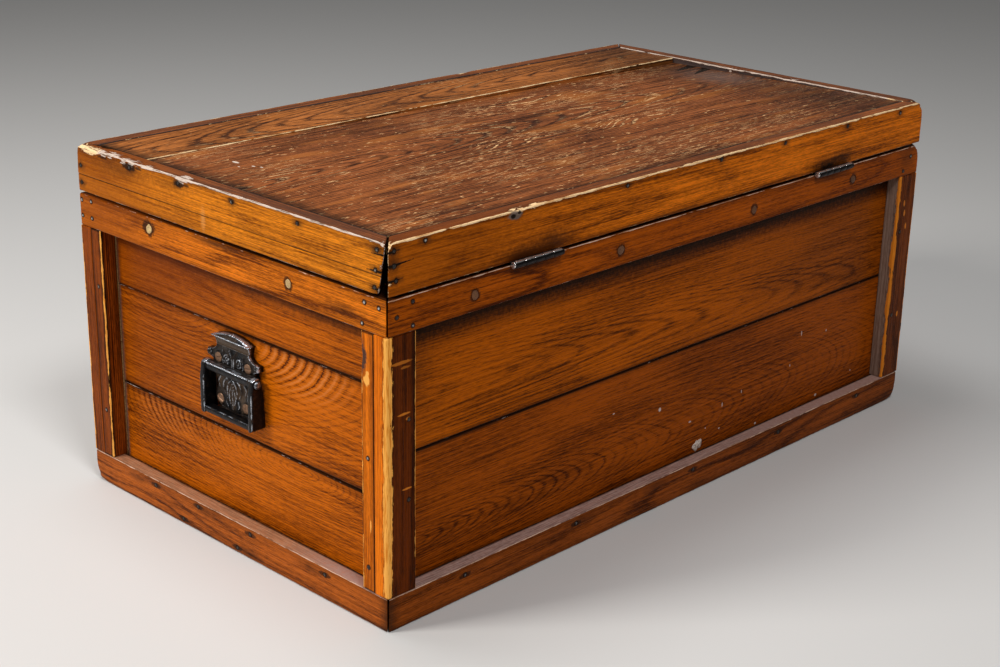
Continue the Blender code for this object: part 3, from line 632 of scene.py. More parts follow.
def joined(parts):
    """One list of points and one of faces from several shells."""
    points, faces, start = [], [], 0
    for shell_points, shell_faces in parts:
        points.append(np.asarray(shell_points))
        faces += [tuple(start + int(index) for index in face) for face in shell_faces]
        start += len(shell_points)
    return np.concatenate(points), faces


def mesh_piece(name, points, faces, material, attributes=()):
    """A smooth object made from arrays of points and faces, with values by point."""
    mesh = bpy.data.meshes.new(name)
    mesh.from_pydata([tuple(point) for point in points], [], [tuple(map(int, face)) for face in faces])
    for key, values in dict(attributes).items():
        layer = mesh.attributes.new(key, "FLOAT", "POINT")
        layer.data.foreach_set("value", np.asarray(values, dtype=np.float32))
    mesh.materials.append(material)
    mesh.shade_smooth()
    piece = bpy.data.objects.new(name, mesh)
    bpy.context.scene.collection.objects.link(piece)
    return piece


BODY_OF = {node: body for body, nodes in frame["record"]["behaviour"]["bodies"].items() for node in nodes}
SLOT_OF = {row["node"]: row["material_slot"] for row in frame["record"]["subparts"]}


def settle(piece, node, matrix, extra_slot=None):
    """Put a piece on the body of its CAD node, to stand for that node, which is then hidden, or, given a slot
    name, as an extra beside it.
    """
    piece.matrix_world = matrix
    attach(piece, BODY_OF[node])
    if extra_slot is None:
        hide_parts(node)


def fit(name, node, shape, material, matrix, extra_slot=None):
    """Make a piece from points in mm, faces and values by point, and settle it."""
    points, faces, values = shape
    settle(mesh_piece(name, points * MM, faces, material, values), node, matrix, extra_slot)


def seed_of(name):
    """A number that stays the same for a name."""
    return sum(ord(letter) * (place + 3) for place, letter in enumerate(name)) % 997


def centre(node):
    """Middle of a CAD node's box."""
    low, high = (Vector(corner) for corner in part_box(node))
    return (low + high) / 2


WORLD = {"+x": (1, 0, 0), "-x": (-1, 0, 0), "+y": (0, 1, 0), "-y": (0, -1, 0),
         "+z": (0, 0, 1), "-z": (0, 0, -1)}


def board_frame(node, along, outward):
    """Matrix of a board's own frame, X along the grain and Y out of its show face, and its half sizes."""
    low, high = (np.array(corner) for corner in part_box(node))
    x = np.array(WORLD[along])
    y = np.array(WORLD[outward])
    turn = np.stack((x, y, np.cross(x, y)), axis=1)
    half = np.abs(turn.T @ (high - low)) / 2
    matrix = Matrix.Translation(Vector((low + high) / 2)) @ Matrix(turn.tolist()).to_4x4()
    return matrix, half


# Sizes in metres of the unevenness along worn edges, and how far an edge's loss reaches
ROUGH_SIZE, FINE_SIZE, PATCH_SIZE, SMALL_PATCH_SIZE, LOSS_REACH = 0.018, 0.0045, 0.03, 0.008, 0.006


def eased(points, half, arris, wear, chips, seed):
    """Round a gridded board by an uneven radius. Returns the moved points and how bare each one is.

    Wear is (signs of the edge, width of the bare strip, loss, strength). A chip is (place, reach, loss,
    strength).
    """
    rough = value_noise(points, ROUGH_SIZE, seed)
    fine = value_noise(points, FINE_SIZE, seed + 1)
    patchy = 0.7 * value_noise(points, PATCH_SIZE, seed + 2)
    patchy += 0.5 * value_noise(points, SMALL_PATCH_SIZE, seed + 3)
    radius = arris * MM * (0.5 + 0.6 * rough + 0.5 * fine)
    worn = np.zeros(len(points))
    for edge, width, loss, strength in wear:
        signs = np.array(edge)
        reach = np.linalg.norm((half - points * signs)[:, signs != 0], axis=1)
        radius += loss * MM * np.exp(-(reach / LOSS_REACH) ** 2) * patchy
        worn = np.maximum(worn, np.clip(1.2 - reach / (width * MM), 0, 1) * (0.3 + patchy) * strength)
    for place, spread, loss, strength in chips:
        reach = np.linalg.norm((points - np.array(place) * MM) / (np.array(spread) * MM), axis=1)
        bite = np.exp(-reach ** 2) * (0.5 + fine)
        radius += loss * MM * bite
        worn = np.maximum(worn, np.clip(strength * bite, 0, 1))
    return rounded(points, half, np.minimum(radius, half.min() * 0.95)), worn


FACE_DIP, DIP_SIZE, DIP_STRETCH = 0.25, 0.012, np.array([0.3, 1, 1])
GROOVE_DEPTH, GROOVE_HALF = 0.5, 0.5


def timber(node, along, outward, finish, step=3.0, arris=0.8, wear=(), chips=(), reshape=None, groove=None):
    """A worn board that stands for one CAD node: eased and chipped, with an uneven face and fastenings."""
    seed = seed_of(node)
    matrix, half = board_frame(node, along, outward)
    stations = [crowded(2 * size, step * MM) for size in half]
    if groove is not None:
        lines = (groove + np.array([-GROOVE_HALF, 0.0, GROOVE_HALF])) * MM
        stations[2] = np.unique(np.concatenate((stations[2], lines)))
    points, quads = box_skin(stations)
    moved, worn = eased(points, half, arris, wear, chips, seed)
    face = np.clip((points[:, 1] - half[1]) / MM + 1, 0, 1)
    moved[:, 1] -= face * FACE_DIP * MM * value_noise(points * DIP_STRETCH, DIP_SIZE, seed + 4)
    if groove is not None:
        bottom = np.abs(points[:, 2] - groove * MM) < 0.4 * GROOVE_HALF * MM
        moved[:, 1] -= face * GROOVE_DEPTH * MM * bottom
    if reshape:
        moved = reshape(moved, half)
    nails = NAILS.get(node, ())
    material = wood(f"{node}_wood", half / MM, seed=seed, nails=nails, **finish)
    settle(mesh_piece(f"{node}_worn", moved, quads, material, {"worn": worn}), node, matrix)
    for kind, places in (("nails", nails), ("plugs", PLUGS.get(node, ()))):
        if places:
            fastenings(node, kind, places, matrix, half[1] / MM)


# Nails and plugs as (along, up) in mm on each piece's own show face
NAILS = {
    "right_lid_rail": ((135, 17), (58, 17), (-21, 16), (-112, 16), (-213, 16), (-211, -2), (-210, -17),
                       (218, 3), (218, -14)),
    "back_lid_rail": ((361, 18), (105, 18), (-36, 19), (-142, 18), (-254, 18), (-356, 17),
                      (396, 16), (396, 3), (394, -10)),
    "left_lid_rail": ((140, 17), (52, 16), (-40, 17), (-126, 16), (213, 16), (213, 0), (213, -16), (-213, 12),
                      (-212, -12)),
    "front_lid_rail": ((352, 17), (230, 17), (118, 16), (-14, 17), (-140, 17), (-262, 16), (-371, 17),
                       (395, -8), (-395, 8)),
    "right_top_rail": ((220, 10), (204, 11), (220, -6), (204, -6), (-197, 9), (-215, 8), (-194, -10)),
    "back_top_rail": ((375, 10), (393, 0), (375, -11), (-387, 5), (-374, -10)),
    "left_top_rail": ((218, 9), (203, -8), (-199, 9), (-216, -7)),
    "front_top_rail": ((377, 9), (392, -6), (-378, 9), (-391, -7)),
    "right_plinth": ((119, 10), (49, 11), (-32, 10), (74, -11), (-12, -11), (-140, 9)),
    "back_plinth": ((-169, 7), (-20, 9), (160, 8), (310, 7), (-320, 8)),
    "left_plinth": ((130, 9), (10, 10), (-120, 9)),
    "front_plinth": ((300, 9), (140, 8), (-30, 10), (-190, 9), (-330, 8)),
    "right_back_end_stile": ((6, 0), (-98, 0)),
    "right_back_long_stile": ((43, 8), (-32, 8)),
    "right_front_end_stile": ((62, 0), (-70, 0)),
    "left_back_long_stile": ((55, -8), (-45, -8)),
    "right_front_long_stile": ((50, -8), (-52, -8)),
    "left_front_long_stile": ((48, 8), (-50, 8)),
}
PLUGS = {
    "right_top_rail": ((107.7, 4.7), (-97.7, 0.6)),
    "back_top_rail": ((302.5, -1.0), (110.7, -1.0), (-95.1, -1.0), (-272.8, -1.0)),
    "left_top_rail": ((96.0, 1.5), (-104.0, 0.5)),
    "front_top_rail": ((288.0, 0.0), (98.0, -1.5), (-104.0, 0.5), (-296.0, -1.0)),
}

# Radius, sides, lobes and slot of each kind, then the rise and the profile that they share
FASTENINGS = {"nails": (1.7, 12, 4, "screw_steel"), "plugs": (4.0, 22, 2, "frame_wood")}
HEAD_RISE = 0.25
HEAD_PROFILE = tuple((share, height * HEAD_RISE)
                     for share, height in ((0.55, 0.95), (0.85, 0.65), (1.0, 0.1), (0.96, -4.0)))


def fastenings(node, kind, places, matrix, face):
    """The nail heads or wooden plugs of one board: uneven domed discs that sink into it."""
    radius, sides, lobes, slot = FASTENINGS[kind]
    random = np.random.default_rng(seed_of(f"{node}_{kind}"))
    angles = np.arange(sides) * 2 * np.pi / sides
    heads, worn = [], []
    for x, z in places:
        # The glint is a painted highlight on a nail head, carried in its "worn" value.
        glint = 1.0 if node == "right_top_rail" else 0.7 * random.random()
        worn += [glint] + [0.85 * glint] * sides + [0.0] * ((len(HEAD_PROFILE) - 1) * sides)
        swell = 1 + 0.09 * np.cos(lobes * angles + 6.3 * random.random())
        swell += 0.10 * (random.random(sides) - 0.5)
        size = radius * (0.85 + 0.3 * random.random())
        lean = 0.14 * (random.random(2) - 0.5)
        points, faces = dome(size * swell, HEAD_PROFILE, HEAD_RISE)
        points[:, 1] += points[:, (0, 2)] @ lean
        heads.append((points + (x, face, z), faces))
    material = NAIL_IRON
    if kind == "plugs":
        material = PALE_PLUG if node in ("right_top_rail", "left_top_rail") else BROWN_PLUG
    fit(f"{node}_{kind}", node, (*joined(heads), {"worn": worn}), material, matrix, slot)


def mitred(moved, half):
    """Cut both ends of a strip at 45 degrees, the outer face longest."""
    inset = half[1] - moved[:, 1]
    moved[:, 0] *= (half[0] - inset) / half[0]
    return moved


MITRE_GAP = 9.0


def opened(moved, half):
    """The lid's right rail: mitred, with its back joint spread towards the foot."""
    moved = mitred(moved, half)
    down = (half[2] - moved[:, 2]) / (2 * half[2])
    near = np.clip(-moved[:, 0] / half[0], 0, 1)
    moved[:, 0] += MITRE_GAP * MM * down * near ** 6
    return moved


# The way the grain runs and the way the show face looks, by side
SIDES = {"back": ("+x", "+y"), "left": ("+y", "-x"), "front": ("-x", "-y"), "right": ("-y", "+x")}
ENDS = ("right", "left")
TOP_OUTER, TOP_INNER, FOOT_OUTER = (0, 1, 1), (0, -1, 1), (0, 1, -1)

# The end of each strip that the chips are at, along its grain in mm
FAR_END = {"right": 225, "left": 225, "front": -404, "back": -404}


def straight(seed, colours, **more):
    """Finish of a straight-grained strip."""
    random = np.random.default_rng(seed)
    rings = ((-50 - 50 * random.random(), 40 * random.random() - 20),
             (0.03 * random.random() - 0.015, 0.04 * random.random() - 0.02), 2.4 + random.random(), 10)
    return dict(colours=colours, rings=rings, **more)


def soot_and_shade_mark(x, z, reach_x, reach_z, strength=0.9):
    """A dark mark, used both for stains and for painted shade and shadows."""
    return (x, z, reach_x, reach_z, strength, SOOT_AND_SHADE)


def make_plinth():
    """Four mitred strips round the foot."""
    scuffs = tuple(soot_and_shade_mark(x, z, 16, 4, 0.5) for x, z in ((-120, 8), (40, 9), (150, 7), (-30, -10)))
    corner = {"right": (soot_and_shade_mark(-224, 0, 9, 40, 0.7),), "back": (soot_and_shade_mark(403, 0, 9, 40, 0.7),)}
    wear = ((TOP_OUTER, 1.1, 0.8, 0.80), (FOOT_OUTER, 1.0, 1.0, 0.35))
    for number, (side, axes) in enumerate(SIDES.items()):
        colours, dust = (END_PLINTH, END_DUST) if side in ENDS else (LONG_PLINTH, LONG_DUST)
        spots = tuple(soot_and_shade_mark(x, z, 8, 2.6, 0.75) for x, z in NAILS[f"{side}_plinth"])
        finish = straight(10 + number, colours, ledge=dust, stains=scuffs + corner.get(side, ()), spots=spots,
                          pale=ROSY)
        chips = (((FAR_END[side], 8, -16), (10, 12, 10), 8, 0.35),)
        timber(f"{side}_plinth", *axes, finish, chips=chips, wear=wear, reshape=mitred)


def make_top_rails():
    """Four mitred rails round the mouth of the case."""
    stains = {
        # The right rail's first stain is painted shade, darker towards its far end.
        "right": ((200, 0, 120, 80, 0.7, TOP_RAIL_PAINTED_SHADE), soot_and_shade_mark(5, 13, 30, 3, 0.7),
                  soot_and_shade_mark(-170, -4, 20, 5, 0.5)),
        "back": (soot_and_shade_mark(229, 13, 26, 6, 0.8), soot_and_shade_mark(-229, 13, 26, 6, 0.8), soot_and_shade_mark(-380, 3, 16, 14, 0.5)),
    }
    for number, (side, axes) in enumerate(SIDES.items()):
        colours, top_wear = (END_TOP_RAIL, 0.5) if side in ENDS else (LONG_TOP_RAIL, 0.85)
        spots = [soot_and_shade_mark(x, z, 6.2, 6.2, 0.8) for x, z in PLUGS[f"{side}_top_rail"]]
        if side == "right":
            spots[0] = soot_and_shade_mark(108.5, 5.2, 9.5, 7.5, 0.85)
        finish = straight(20 + number, colours, stains=stains.get(side, ()), spots=spots, pale=ROSY,
                          flank=(PAINTED_GAP_SHADE, colours))
        chips = (((FAR_END[side], 8, 16), (8, 10, 8), 6, 0.3),) if side in ("back", "left") else ()
        wear = ((TOP_OUTER, 1.2, 0.6, top_wear), (FOOT_OUTER, 0.8, 0.4, 0.5))
        timber(f"{side}_top_rail", *axes, finish, chips=chips, wear=wear, reshape=mitred)


# Damage of each lid rail on its own show face, in mm: chips, stains, cracks and spots. The two shade stains
# are painted shade, darker towards the right rail's far end and the back rail's near end.
LID_CHIPS = {
    "right": (((211, -8, 23), (13, 7, 8), 9, 0.5), ((205, 8, 23), (24, 6, 6), 3, 1.15),
              ((172, 6, 23), (18, 9, 6), 2.5, 0.72), ((135, 7, 22), (18, 9, 6), 2.6, 0.76),
              ((108, 8, 23), (16, 7, 4), 1.6, 0.6), ((52, 8, 23), (15, 8, 6), 2.4, 0.85),
              ((-222, 8, -20), (5, 8, 6), 3, 0.5), ((-222, 8, 2), (5, 8, 4), 3, 0.6),
              ((-222, 8, 20), (7, 8, 5), 2.5, 0.6)),
    "back": (((-404, 8, 23), (9, 12, 9), 8, 0.5), ((252, 8, 22), (11, 8, 5), 4.5, 0.7),
             ((228, 8, 23), (16, 7, 3), 1.5, 0.8), ((404, 8, 22), (7, 9, 5), 3, 0.7),
             ((402, 8, 2), (4, 8, 3), 3, 0.6), ((401, 8, -12), (4, 8, 3), 3, 0.6)),
    "left": (((225, 8, 23), (10, 12, 10), 8, 0.4), ((60, -8, 23), (14, 8, 5), 3, 0.55),
             ((-30, -8, 23), (12, 8, 5), 3, 0.55)),
    "front": (((-404, 8, 18), (10, 12, 8), 5, 0.5), ((120, 8, 23), (14, 8, 5), 3, 0.6)),
}
LID_STAINS_AND_SHADE = {
    "right": (soot_and_shade_mark(213, 19, 10, 6), soot_and_shade_mark(135, 16, 9, 5, 0.85), soot_and_shade_mark(172, 17, 10, 4, 0.7),
              soot_and_shade_mark(60, 16, 6, 4, 0.6), (200, 0, 130, 80, 0.75, END_LID_PAINTED_SHADE), soot_and_shade_mark(150, 12, 40, 8, 0.4),
              soot_and_shade_mark(70, 14, 26, 5, 0.35), (22, -9, 3.0, 10, 0.55, RUBBED), soot_and_shade_mark(-214, 15, 10, 4, 0.5)),
    "back": (soot_and_shade_mark(243, -20, 34, 9, 1.0), soot_and_shade_mark(205, -14, 22, 9, 0.8), soot_and_shade_mark(-222, -20, 34, 9, 1.0),
             soot_and_shade_mark(-250, -14, 18, 7, 0.7), (380, 0, 200, 90, 0.6, LONG_LID_PAINTED_SHADE), soot_and_shade_mark(252, 18, 7, 4, 0.8),
             soot_and_shade_mark(0, -23, 180, 3, 0.6), soot_and_shade_mark(398, 8, 8, 10, 0.5)),
    "left": (soot_and_shade_mark(120, -20, 40, 4, 0.6),),
    "front": (soot_and_shade_mark(-100, -20, 60, 4, 0.6),),
}
LID_CRACKS = {
    "right": ((-224, -2, -200, -3, 1.2), (-224, -17, -204, -19, 1.1), (-224, 13, -206, 12, 0.9)),
    "back": ((403, 3, 374, 5, 1.3), (402, -10, 386, -9, 1.2), (403, 15, 390, 16, 1.0)),
}
LID_SPOTS = {
    "right": (soot_and_shade_mark(57, 16, 8, 2.6, 0.8), soot_and_shade_mark(46, 17, 5, 1.2, 0.7), soot_and_shade_mark(136, 17, 10, 3.4, 0.75),
              soot_and_shade_mark(121, 18, 5, 1.3, 0.7), soot_and_shade_mark(-21, 17, 5, 2.2, 0.6), soot_and_shade_mark(180, 18, 9, 1.2, 0.7)),
    "back": ((254, 18.5, 8.5, 3.6, 0.9, KNOT_GREY), soot_and_shade_mark(257, 18, 3.0, 2.0, 0.95),
             soot_and_shade_mark(249, 20, 2.0, 1.2, 0.9)),
}
RAIL_SPLIT = -6.0


def make_lid_rails():
    """Four mitred rails round the lid. The right one is split along its length and broken at its far end."""
    for number, (side, axes) in enumerate(SIDES.items()):
        nails = tuple(soot_and_shade_mark(x, z, 7, 4, 0.75) for x, z in NAILS[f"{side}_lid_rail"])
        more = dict(stains=LID_STAINS_AND_SHADE[side] + nails, cracks=LID_CRACKS.get(side, ()),
                    spots=LID_SPOTS.get(side, ()), flank=(LID_SIDE, PAINTED_GAP_SHADE),
                    mitre=MITRE_GAP if side == "right" else 0.0)
        wear = [(TOP_OUTER, 2.2, 0.9, 1.1), (TOP_INNER, 1.0, 0.5, 0.4), (FOOT_OUTER, 0.9, 0.5, 0.55)]
        if side in ENDS:
            finish = straight(30 + number, END_LID_RAIL, top=0.3, pale=WEATHERED, far=(188.0, BROKEN_END),
                              seams=((RAIL_SPLIT, 0.9, 0.72),), **more)
            wear[0] = (TOP_OUTER, 1.9, 0.7, 1.1)
        else:
            finish = straight(30 + number, LONG_LID_RAIL, top=0.1, **more)
        if side in ("right", "back"):
            wear.append(((-1 if side == "right" else 1, 1, 0), 1.1, 0.5, 0.8))
        if side == "left":
            wear[1] = (TOP_INNER, 1.9, 0.7, 0.98)
        timber(f"{side}_lid_rail", *axes, finish, chips=LID_CHIPS[side], wear=wear,
               reshape=opened if side == "right" else mitred, groove=RAIL_SPLIT if side == "right" else None)


AMBER_SCARS = tuple((x, z, 3.5, 1.6, 0.95, AMBER) for x, z in ((88, -4), (76, -2), (60, 3), (-46, 4)))
NEAR_SCARS = ((96, -1, 1.5, 12, 0.55, AMBER), (91, 4, 1.2, 5, 0.4, AMBER), (49, 2, 1.1, 7, 0.75, AMBER),
              (44, 7, 1.6, 2.4, 0.7, AMBER), (-21, 6, 0.9, 5.5, 0.75, AMBER))
NEAR_END_SCARS = ((96, -9.5, 15, 8.5, 0.92, BRUISE), (77, -1, 5.5, 3.6, 1.0, STRAW[0]),
                  (84, 0, 2, 2, 1.0, STRAW[0]), (-57, 3, 6, 0.9, 0.9, STRAW[0]))


def make_long_stile(end, side, seed):
    """The stile on the long side of a corner, bare along the corner itself."""
    hand = 1 if (end == "right") == (side == "back") else -1
    near = (end, side) == ("right", "back")
    outer = ORANGE_STILE if near else BROWN_STILE
    more = dict(pale=STRAW, grime=0.5, flank=(GREY_FLANK, outer) if hand > 0 else (outer, GREY_FLANK))
    inner_wear = ((0, 1, hand), 1.9, 0.6, 0.95)
    corner_wear = ((0, 1, -hand), 3.4, 1.2, 1.1)
    colours = BROWN_STILE
    if end == "left":
        colours = RED_STILE
        inner_wear = ((0, 1, hand), 4.6, 0.8, 1.15)
        more.update(pale=AMBER_EDGE, spots=AMBER_SCARS)
    if near:
        colours = DARK_STILE
        corner_wear = ((0, 1, -hand), 6.5, 3.0, 1.5)
        more["spots"] = NEAR_SCARS
    timber(f"{end}_{side}_long_stile", "+z", SIDES[side][1], straight(seed, colours, **more),
           wear=(inner_wear, corner_wear))


def make_end_stile(end, side, seed):
    """The stile on the end of the case, behind the edge of the long one."""
    hand = 1 if (end == "right") == (side == "back") else -1
    more = dict(pale=STRAW, grime=0.5, joint=0.85)
    colours, chips = BROWN_STILE, ()
    if (end, side) == ("right", "back"):
        colours = ORANGE_STILE
        more["spots"] = NEAR_END_SCARS
        chips = (((98, 8, -8), (13, 8, 5), 3, 0.1),)
    wear = (((0, 1, -hand), 1.9, 0.9 if side == "front" else 0.6, 0.95),)
    timber(f"{end}_{side}_end_stile", "+z", SIDES[end][1], straight(seed, colours, **more),
           wear=wear, chips=chips)


def make_stiles():
    """Two stiles at each corner."""
    seed = 41
    for end in ENDS:
        for side in ("front", "back"):
            make_long_stile(end, side, seed)
            make_end_stile(end, side, seed + 1)
            seed += 2


# Colours, rings, eye, worn edge and stains of the long boards. The upper row's stains are painted shade: a
# painted shadow under the top rail, shade beside the stile at one end and darker towards the other end.
LONG_ROWS = {
    "upper": (LONG_UPPER, ((-45, -43), (-0.03, -0.045), 1.7, 8), (40, -40, 330, 34, 0.25), FOOT_OUTER,
              (soot_and_shade_mark(0, 40, 4000, 17, 0.93), soot_and_shade_mark(0, 40, 4000, 13, 0.9), soot_and_shade_mark(374, 8, 30, 60, 0.5),
               soot_and_shade_mark(-300, 0, 190, 90, 0.3))),
    "lower": (LONG_LOWER, ((-42, -15), (-0.12, 0.01), 2.0, 10), (170, -20, 190, 46, 0.20), TOP_OUTER, ()),
}

# Specks of paint on the lower back board: place and reach
SPECKS = ((-225, 35, 1.2, 5), (-273, 27, 1.2, 2), (-207, 2, 1.2, 2.5), (-330, -36, 1.6, 1.2),
          (90, 29, 2.5, 1.2), (18, 13, 3.0, 4.0), (-33, -15, 3.0, 1.5), (-84, -37, 2.0, 1.4),
          (-149, -50, 2.5, 2.0), (-262, -48, 3.2, 2.4), (-87, -11, 1.2, 4.0), (-120, -5, 1.0, 3.0),
          (-60, -30, 1.4, 1.0))

# Rings, eye, stains and spots of the end boards. The stains are painted shade: darker towards one end, with a
# painted shadow under the top rail on the upper board. The middle board's spots are a painted shadow behind
# the handle.
END_ROWS = {
    "lower": (((30, 42), (-0.26, 0.0), 2.4, 12), (118, 40, 46, 22, 0.42), (soot_and_shade_mark(150, 30, 90, 60, 0.14),), ()),
    "middle": (((-27, 56), (-0.30, 0.0), 3.8, 12), (-95, 50, 62, 38, 0.62),
               ((160, 0, 120, 80, 0.45, MIDDLE_PAINTED_SHADE),),
               (soot_and_shade_mark(18, -13, 20, 26, 0.95), soot_and_shade_mark(-18, -13, 20, 26, 0.95), soot_and_shade_mark(0, -31, 37, 6, 0.95))),
    "upper": (((-70, 0), (0.02, 0.04), 2.6, 12), None,
              (soot_and_shade_mark(0, 5, 2400, 11, 0.8), (150, 0, 150, 70, 0.7, UPPER_PAINTED_SHADE)), ()),
}


def make_boards():
    """Boards of the case and its bottom."""
    shared = dict(figure=0.30, raw=2.0, pale=LILAC)
    for side in ("front", "back"):
        for row, (colours, rings, eye, edge, stains) in LONG_ROWS.items():
            spots = ()
            if (side, row) == ("back", "lower"):
                spots = tuple((x, z, 0.6 * wide, 0.6 * high, 0.9, PAINT) for x, z, wide, high in SPECKS)
            finish = dict(colours=colours, rings=rings, eye=eye, spots=spots, stains=stains, grime=0.45,
                          joint=0.95, **shared)
            timber(f"{side}_board_{row}", *SIDES[side], finish, step=7, arris=1.2,
                   wear=((edge, 0.9, 0.4, 0.34),))
    for side in ENDS:
        for row, (rings, eye, stains, spots) in END_ROWS.items():
            finish = dict(colours=END_BOARD, rings=rings, eye=eye, spots=spots, stains=stains, grime=0.5,
                          joint=0.9, dust_x=190, **shared)
            timber(f"{side}_end_board_{row}", *SIDES[side], finish, step=6, arris=1.2,
                   wear=((TOP_OUTER, 0.9, 0.4, 0.5),))
    for index in (1, 2, 3):
        finish = dict(colours=RAW, rings=((-60, 0), (0, 0.02), 4, 14))
        timber(f"bottom_board_{index}", "+x", "-z", finish, step=12)


LID_END, LID_EDGE, LID_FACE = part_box("lid_board_rear")[1]
SEAM_RIGHT, SEAM_LEFT = -0.1307, -0.1207
SEAM_GAP, SEAM_DROP, REAR_THICKNESS = 0.0006, 0.006, 0.016


def lid_seam(x):
    """Where the two lid boards meet, which slants across the lid."""
    return SEAM_RIGHT + (SEAM_LEFT - SEAM_RIGHT) * (LID_END - x) / (2 * LID_END)


def tapered(moved, half):
    """The narrow front board, wider at its left end."""
    low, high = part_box("lid_board_front")
    middle = (low[1] + high[1]) / 2
    part = (middle - moved[:, 2] + LID_EDGE) / (2 * half[2])
    moved[:, 2] = middle - (-LID_EDGE + part * (lid_seam(moved[:, 0]) + LID_EDGE))
    return moved


def warped(moved, half):
    """The wide rear board, sunk at the left end of its seam."""
    low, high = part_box("lid_board_rear")
    middle = (low[1] + high[1]) / 2
    part = (LID_EDGE - (middle - moved[:, 2])) / (2 * half[2])
    moved[:, 2] = middle - (LID_EDGE - part * (LID_EDGE - lid_seam(moved[:, 0]) - SEAM_GAP))
    drop = SEAM_DROP * ((LID_END - moved[:, 0]) / (2 * LID_END)) * part
    level = (low[2] + high[2]) / 2
    thick = (moved[:, 1] + level - low[2]) / (high[2] - low[2])
    moved[:, 1] = LID_FACE - REAR_THICKNESS * (1 - thick) - drop - level
    return moved


def make_lid_boards():
    """The tapered front board and the wide rear board, split at its sunken corner."""
    # The second rim stain is painted shade, darker towards the far end of the lid; the first is grime along
    # the right rail.
    rim = (soot_and_shade_mark(386, 0, 11, 4000, 0.7), soot_and_shade_mark(-360, 0, 70, 4000, 0.5))
    shared = dict(grime=0.35, joint=0.8, gloss=0.12, coarse=2.4, figure=0.80)
    front = dict(colours=LID_FRONT, rings=((-30, -6), (0.09, 0.02), 4.0, 20), flecks=0.40, streaks=0.5,
                 raw=2.0, stains=rim, **shared)
    scratches = ((330, 108, 2.0, 5.0), (327, 84, 1.3, 2.4), (324, 76, 1.1, 1.8), (338, 92, 0.9, 1.6))
    rear = dict(colours=LID_REAR, rings=((-42, 40), (-0.085, 0.03), 3.4, 16), flecks=0.66, streaks=0.75,
                raw=11.0, warp=True,
                knolls=((-74, 107, 135, 36, 20), (-105, -17, 95, 30, 17), (65, -3, 80, 24, 13)),
                cracks=((-388, 129, -340, 119, 7.0), (-388, 106, -343, 92, 7.0)),
                stains=rim + (soot_and_shade_mark(0, -170, 4000, 8, 0.4), (-352, 62, 34, 46, 0.45, CORNER_GREY)),
                spots=tuple((*scratch, 0.9, SCRATCH) for scratch in scratches), **shared)
    timber("lid_board_front", "+x", "+z", front, step=6, reshape=tapered, wear=((FOOT_OUTER, 1.4, 0.6, 0.9),))
    timber("lid_board_rear", "+x", "+z", rear, step=6, reshape=warped)


# Butt hinges in mm from the middle of the pin
KNUCKLE, PIN, PIN_PLAY = 3.5, 1.7, 0.3
LEAF_HALF, LEAF_BACK, LEAF_FRONT, LEAF_NEAR, LEAF_FAR = 30.0, -19.0, -4.3, 0.2, 2.2
KNUCKLES, KNUCKLE_GAP = 5, 0.3
KNUCKLE_PITCH = 2 * LEAF_HALF / KNUCKLES
KNUCKLE_BEVEL = ((0.0, KNUCKLE - 0.5), (0.2, KNUCKLE - 0.12), (0.6, KNUCKLE))
LEAF_SCREWS, LEAF_SCREW_LINE = (-20, 0, 20), -12.0
LEAF_SCREW = ((0.0, 3.4), (0.25, 3.2), (0.3, 0.6))


def hinge_leaf(first, up):
    """A leaf with every second knuckle, with a painted highlight along the crown."""
    low, high = sorted((LEAF_NEAR * up, LEAF_FAR * up))
    shells = [block((-LEAF_HALF, LEAF_BACK, low), (LEAF_HALF, LEAF_FRONT, high), 0.35)]
    for index in range(first, KNUCKLES, 2):
        start = KNUCKLE_GAP / 2 - LEAF_HALF + KNUCKLE_PITCH * index
        end = start + KNUCKLE_PITCH - KNUCKLE_GAP
        eye = [(start + reach, radius) for reach, radius in KNUCKLE_BEVEL]
        eye += [(end - reach, radius) for reach, radius in reversed(KNUCKLE_BEVEL)]
        eye += [(end, PIN + PIN_PLAY), (start, PIN + PIN_PLAY)]
        shells.append(lathe(eye, hollow=True))
        shells.append(block((start + 0.4, LEAF_FRONT - 0.3, low), (end - 0.4, LEAF_FRONT + 1.0, high), 0.3))
    points, faces = joined(shells)
    # Painted highlight: the top of each knuckle is made bright through its "worn" value.
    crown = (points[:, 2] + 0.4 * points[:, 1]) / KNUCKLE
    worn = np.clip((crown - 0.88) / 0.14, 0, 1) * (points[:, 1] > -3.2) * 0.95
    return points, faces, {"worn": worn}


def leaf_screws(up):
    """The countersunk screws of a leaf."""
    heads = []
    for place in LEAF_SCREWS:
        head, faces = lathe(LEAF_SCREW, 20)
        depth = up * (0.15 - head[:, 0])
        points = np.stack((head[:, 1] + place, head[:, 2] + LEAF_SCREW_LINE, depth), axis=1)
        heads.append((points, faces if up < 0 else [face[::-1] for face in faces]))
    return (*joined(heads), {})


def hinge_pin():
    """The pin with its two round heads."""
    half = [(30.3, PIN), (30.3, 2.9), (30.6, 3.25)] + round_head(31.2, 3.3, 1.3)
    points, faces = lathe([(-reach, radius) for reach, radius in reversed(half)] + half)
    return points, faces, {"worn": np.clip(np.abs(points[:, 0]) - 30.8, 0, 1) * 0.9}


def make_hinges():
    """Two butt hinges: leaves with rolled knuckles and countersunk screws, and a pin with round heads."""
    for side in ENDS:
        pin = f"{side}_hinge_pin"
        matrix = Matrix.Translation(centre(pin))
        for leaf, first, up in (("case", 0, -1), ("lid", 1, 1)):
            node = f"{side}_hinge_{leaf}_leaf"
            fit(f"{node}_rolled", node, hinge_leaf(first, up), HINGE_STEEL, matrix)
            fit(f"{node}_screws", node, leaf_screws(up), SCREW_STEEL, matrix, "screw_steel")
        fit(f"{pin}_turned", pin, hinge_pin(), HINGE_STEEL, matrix)


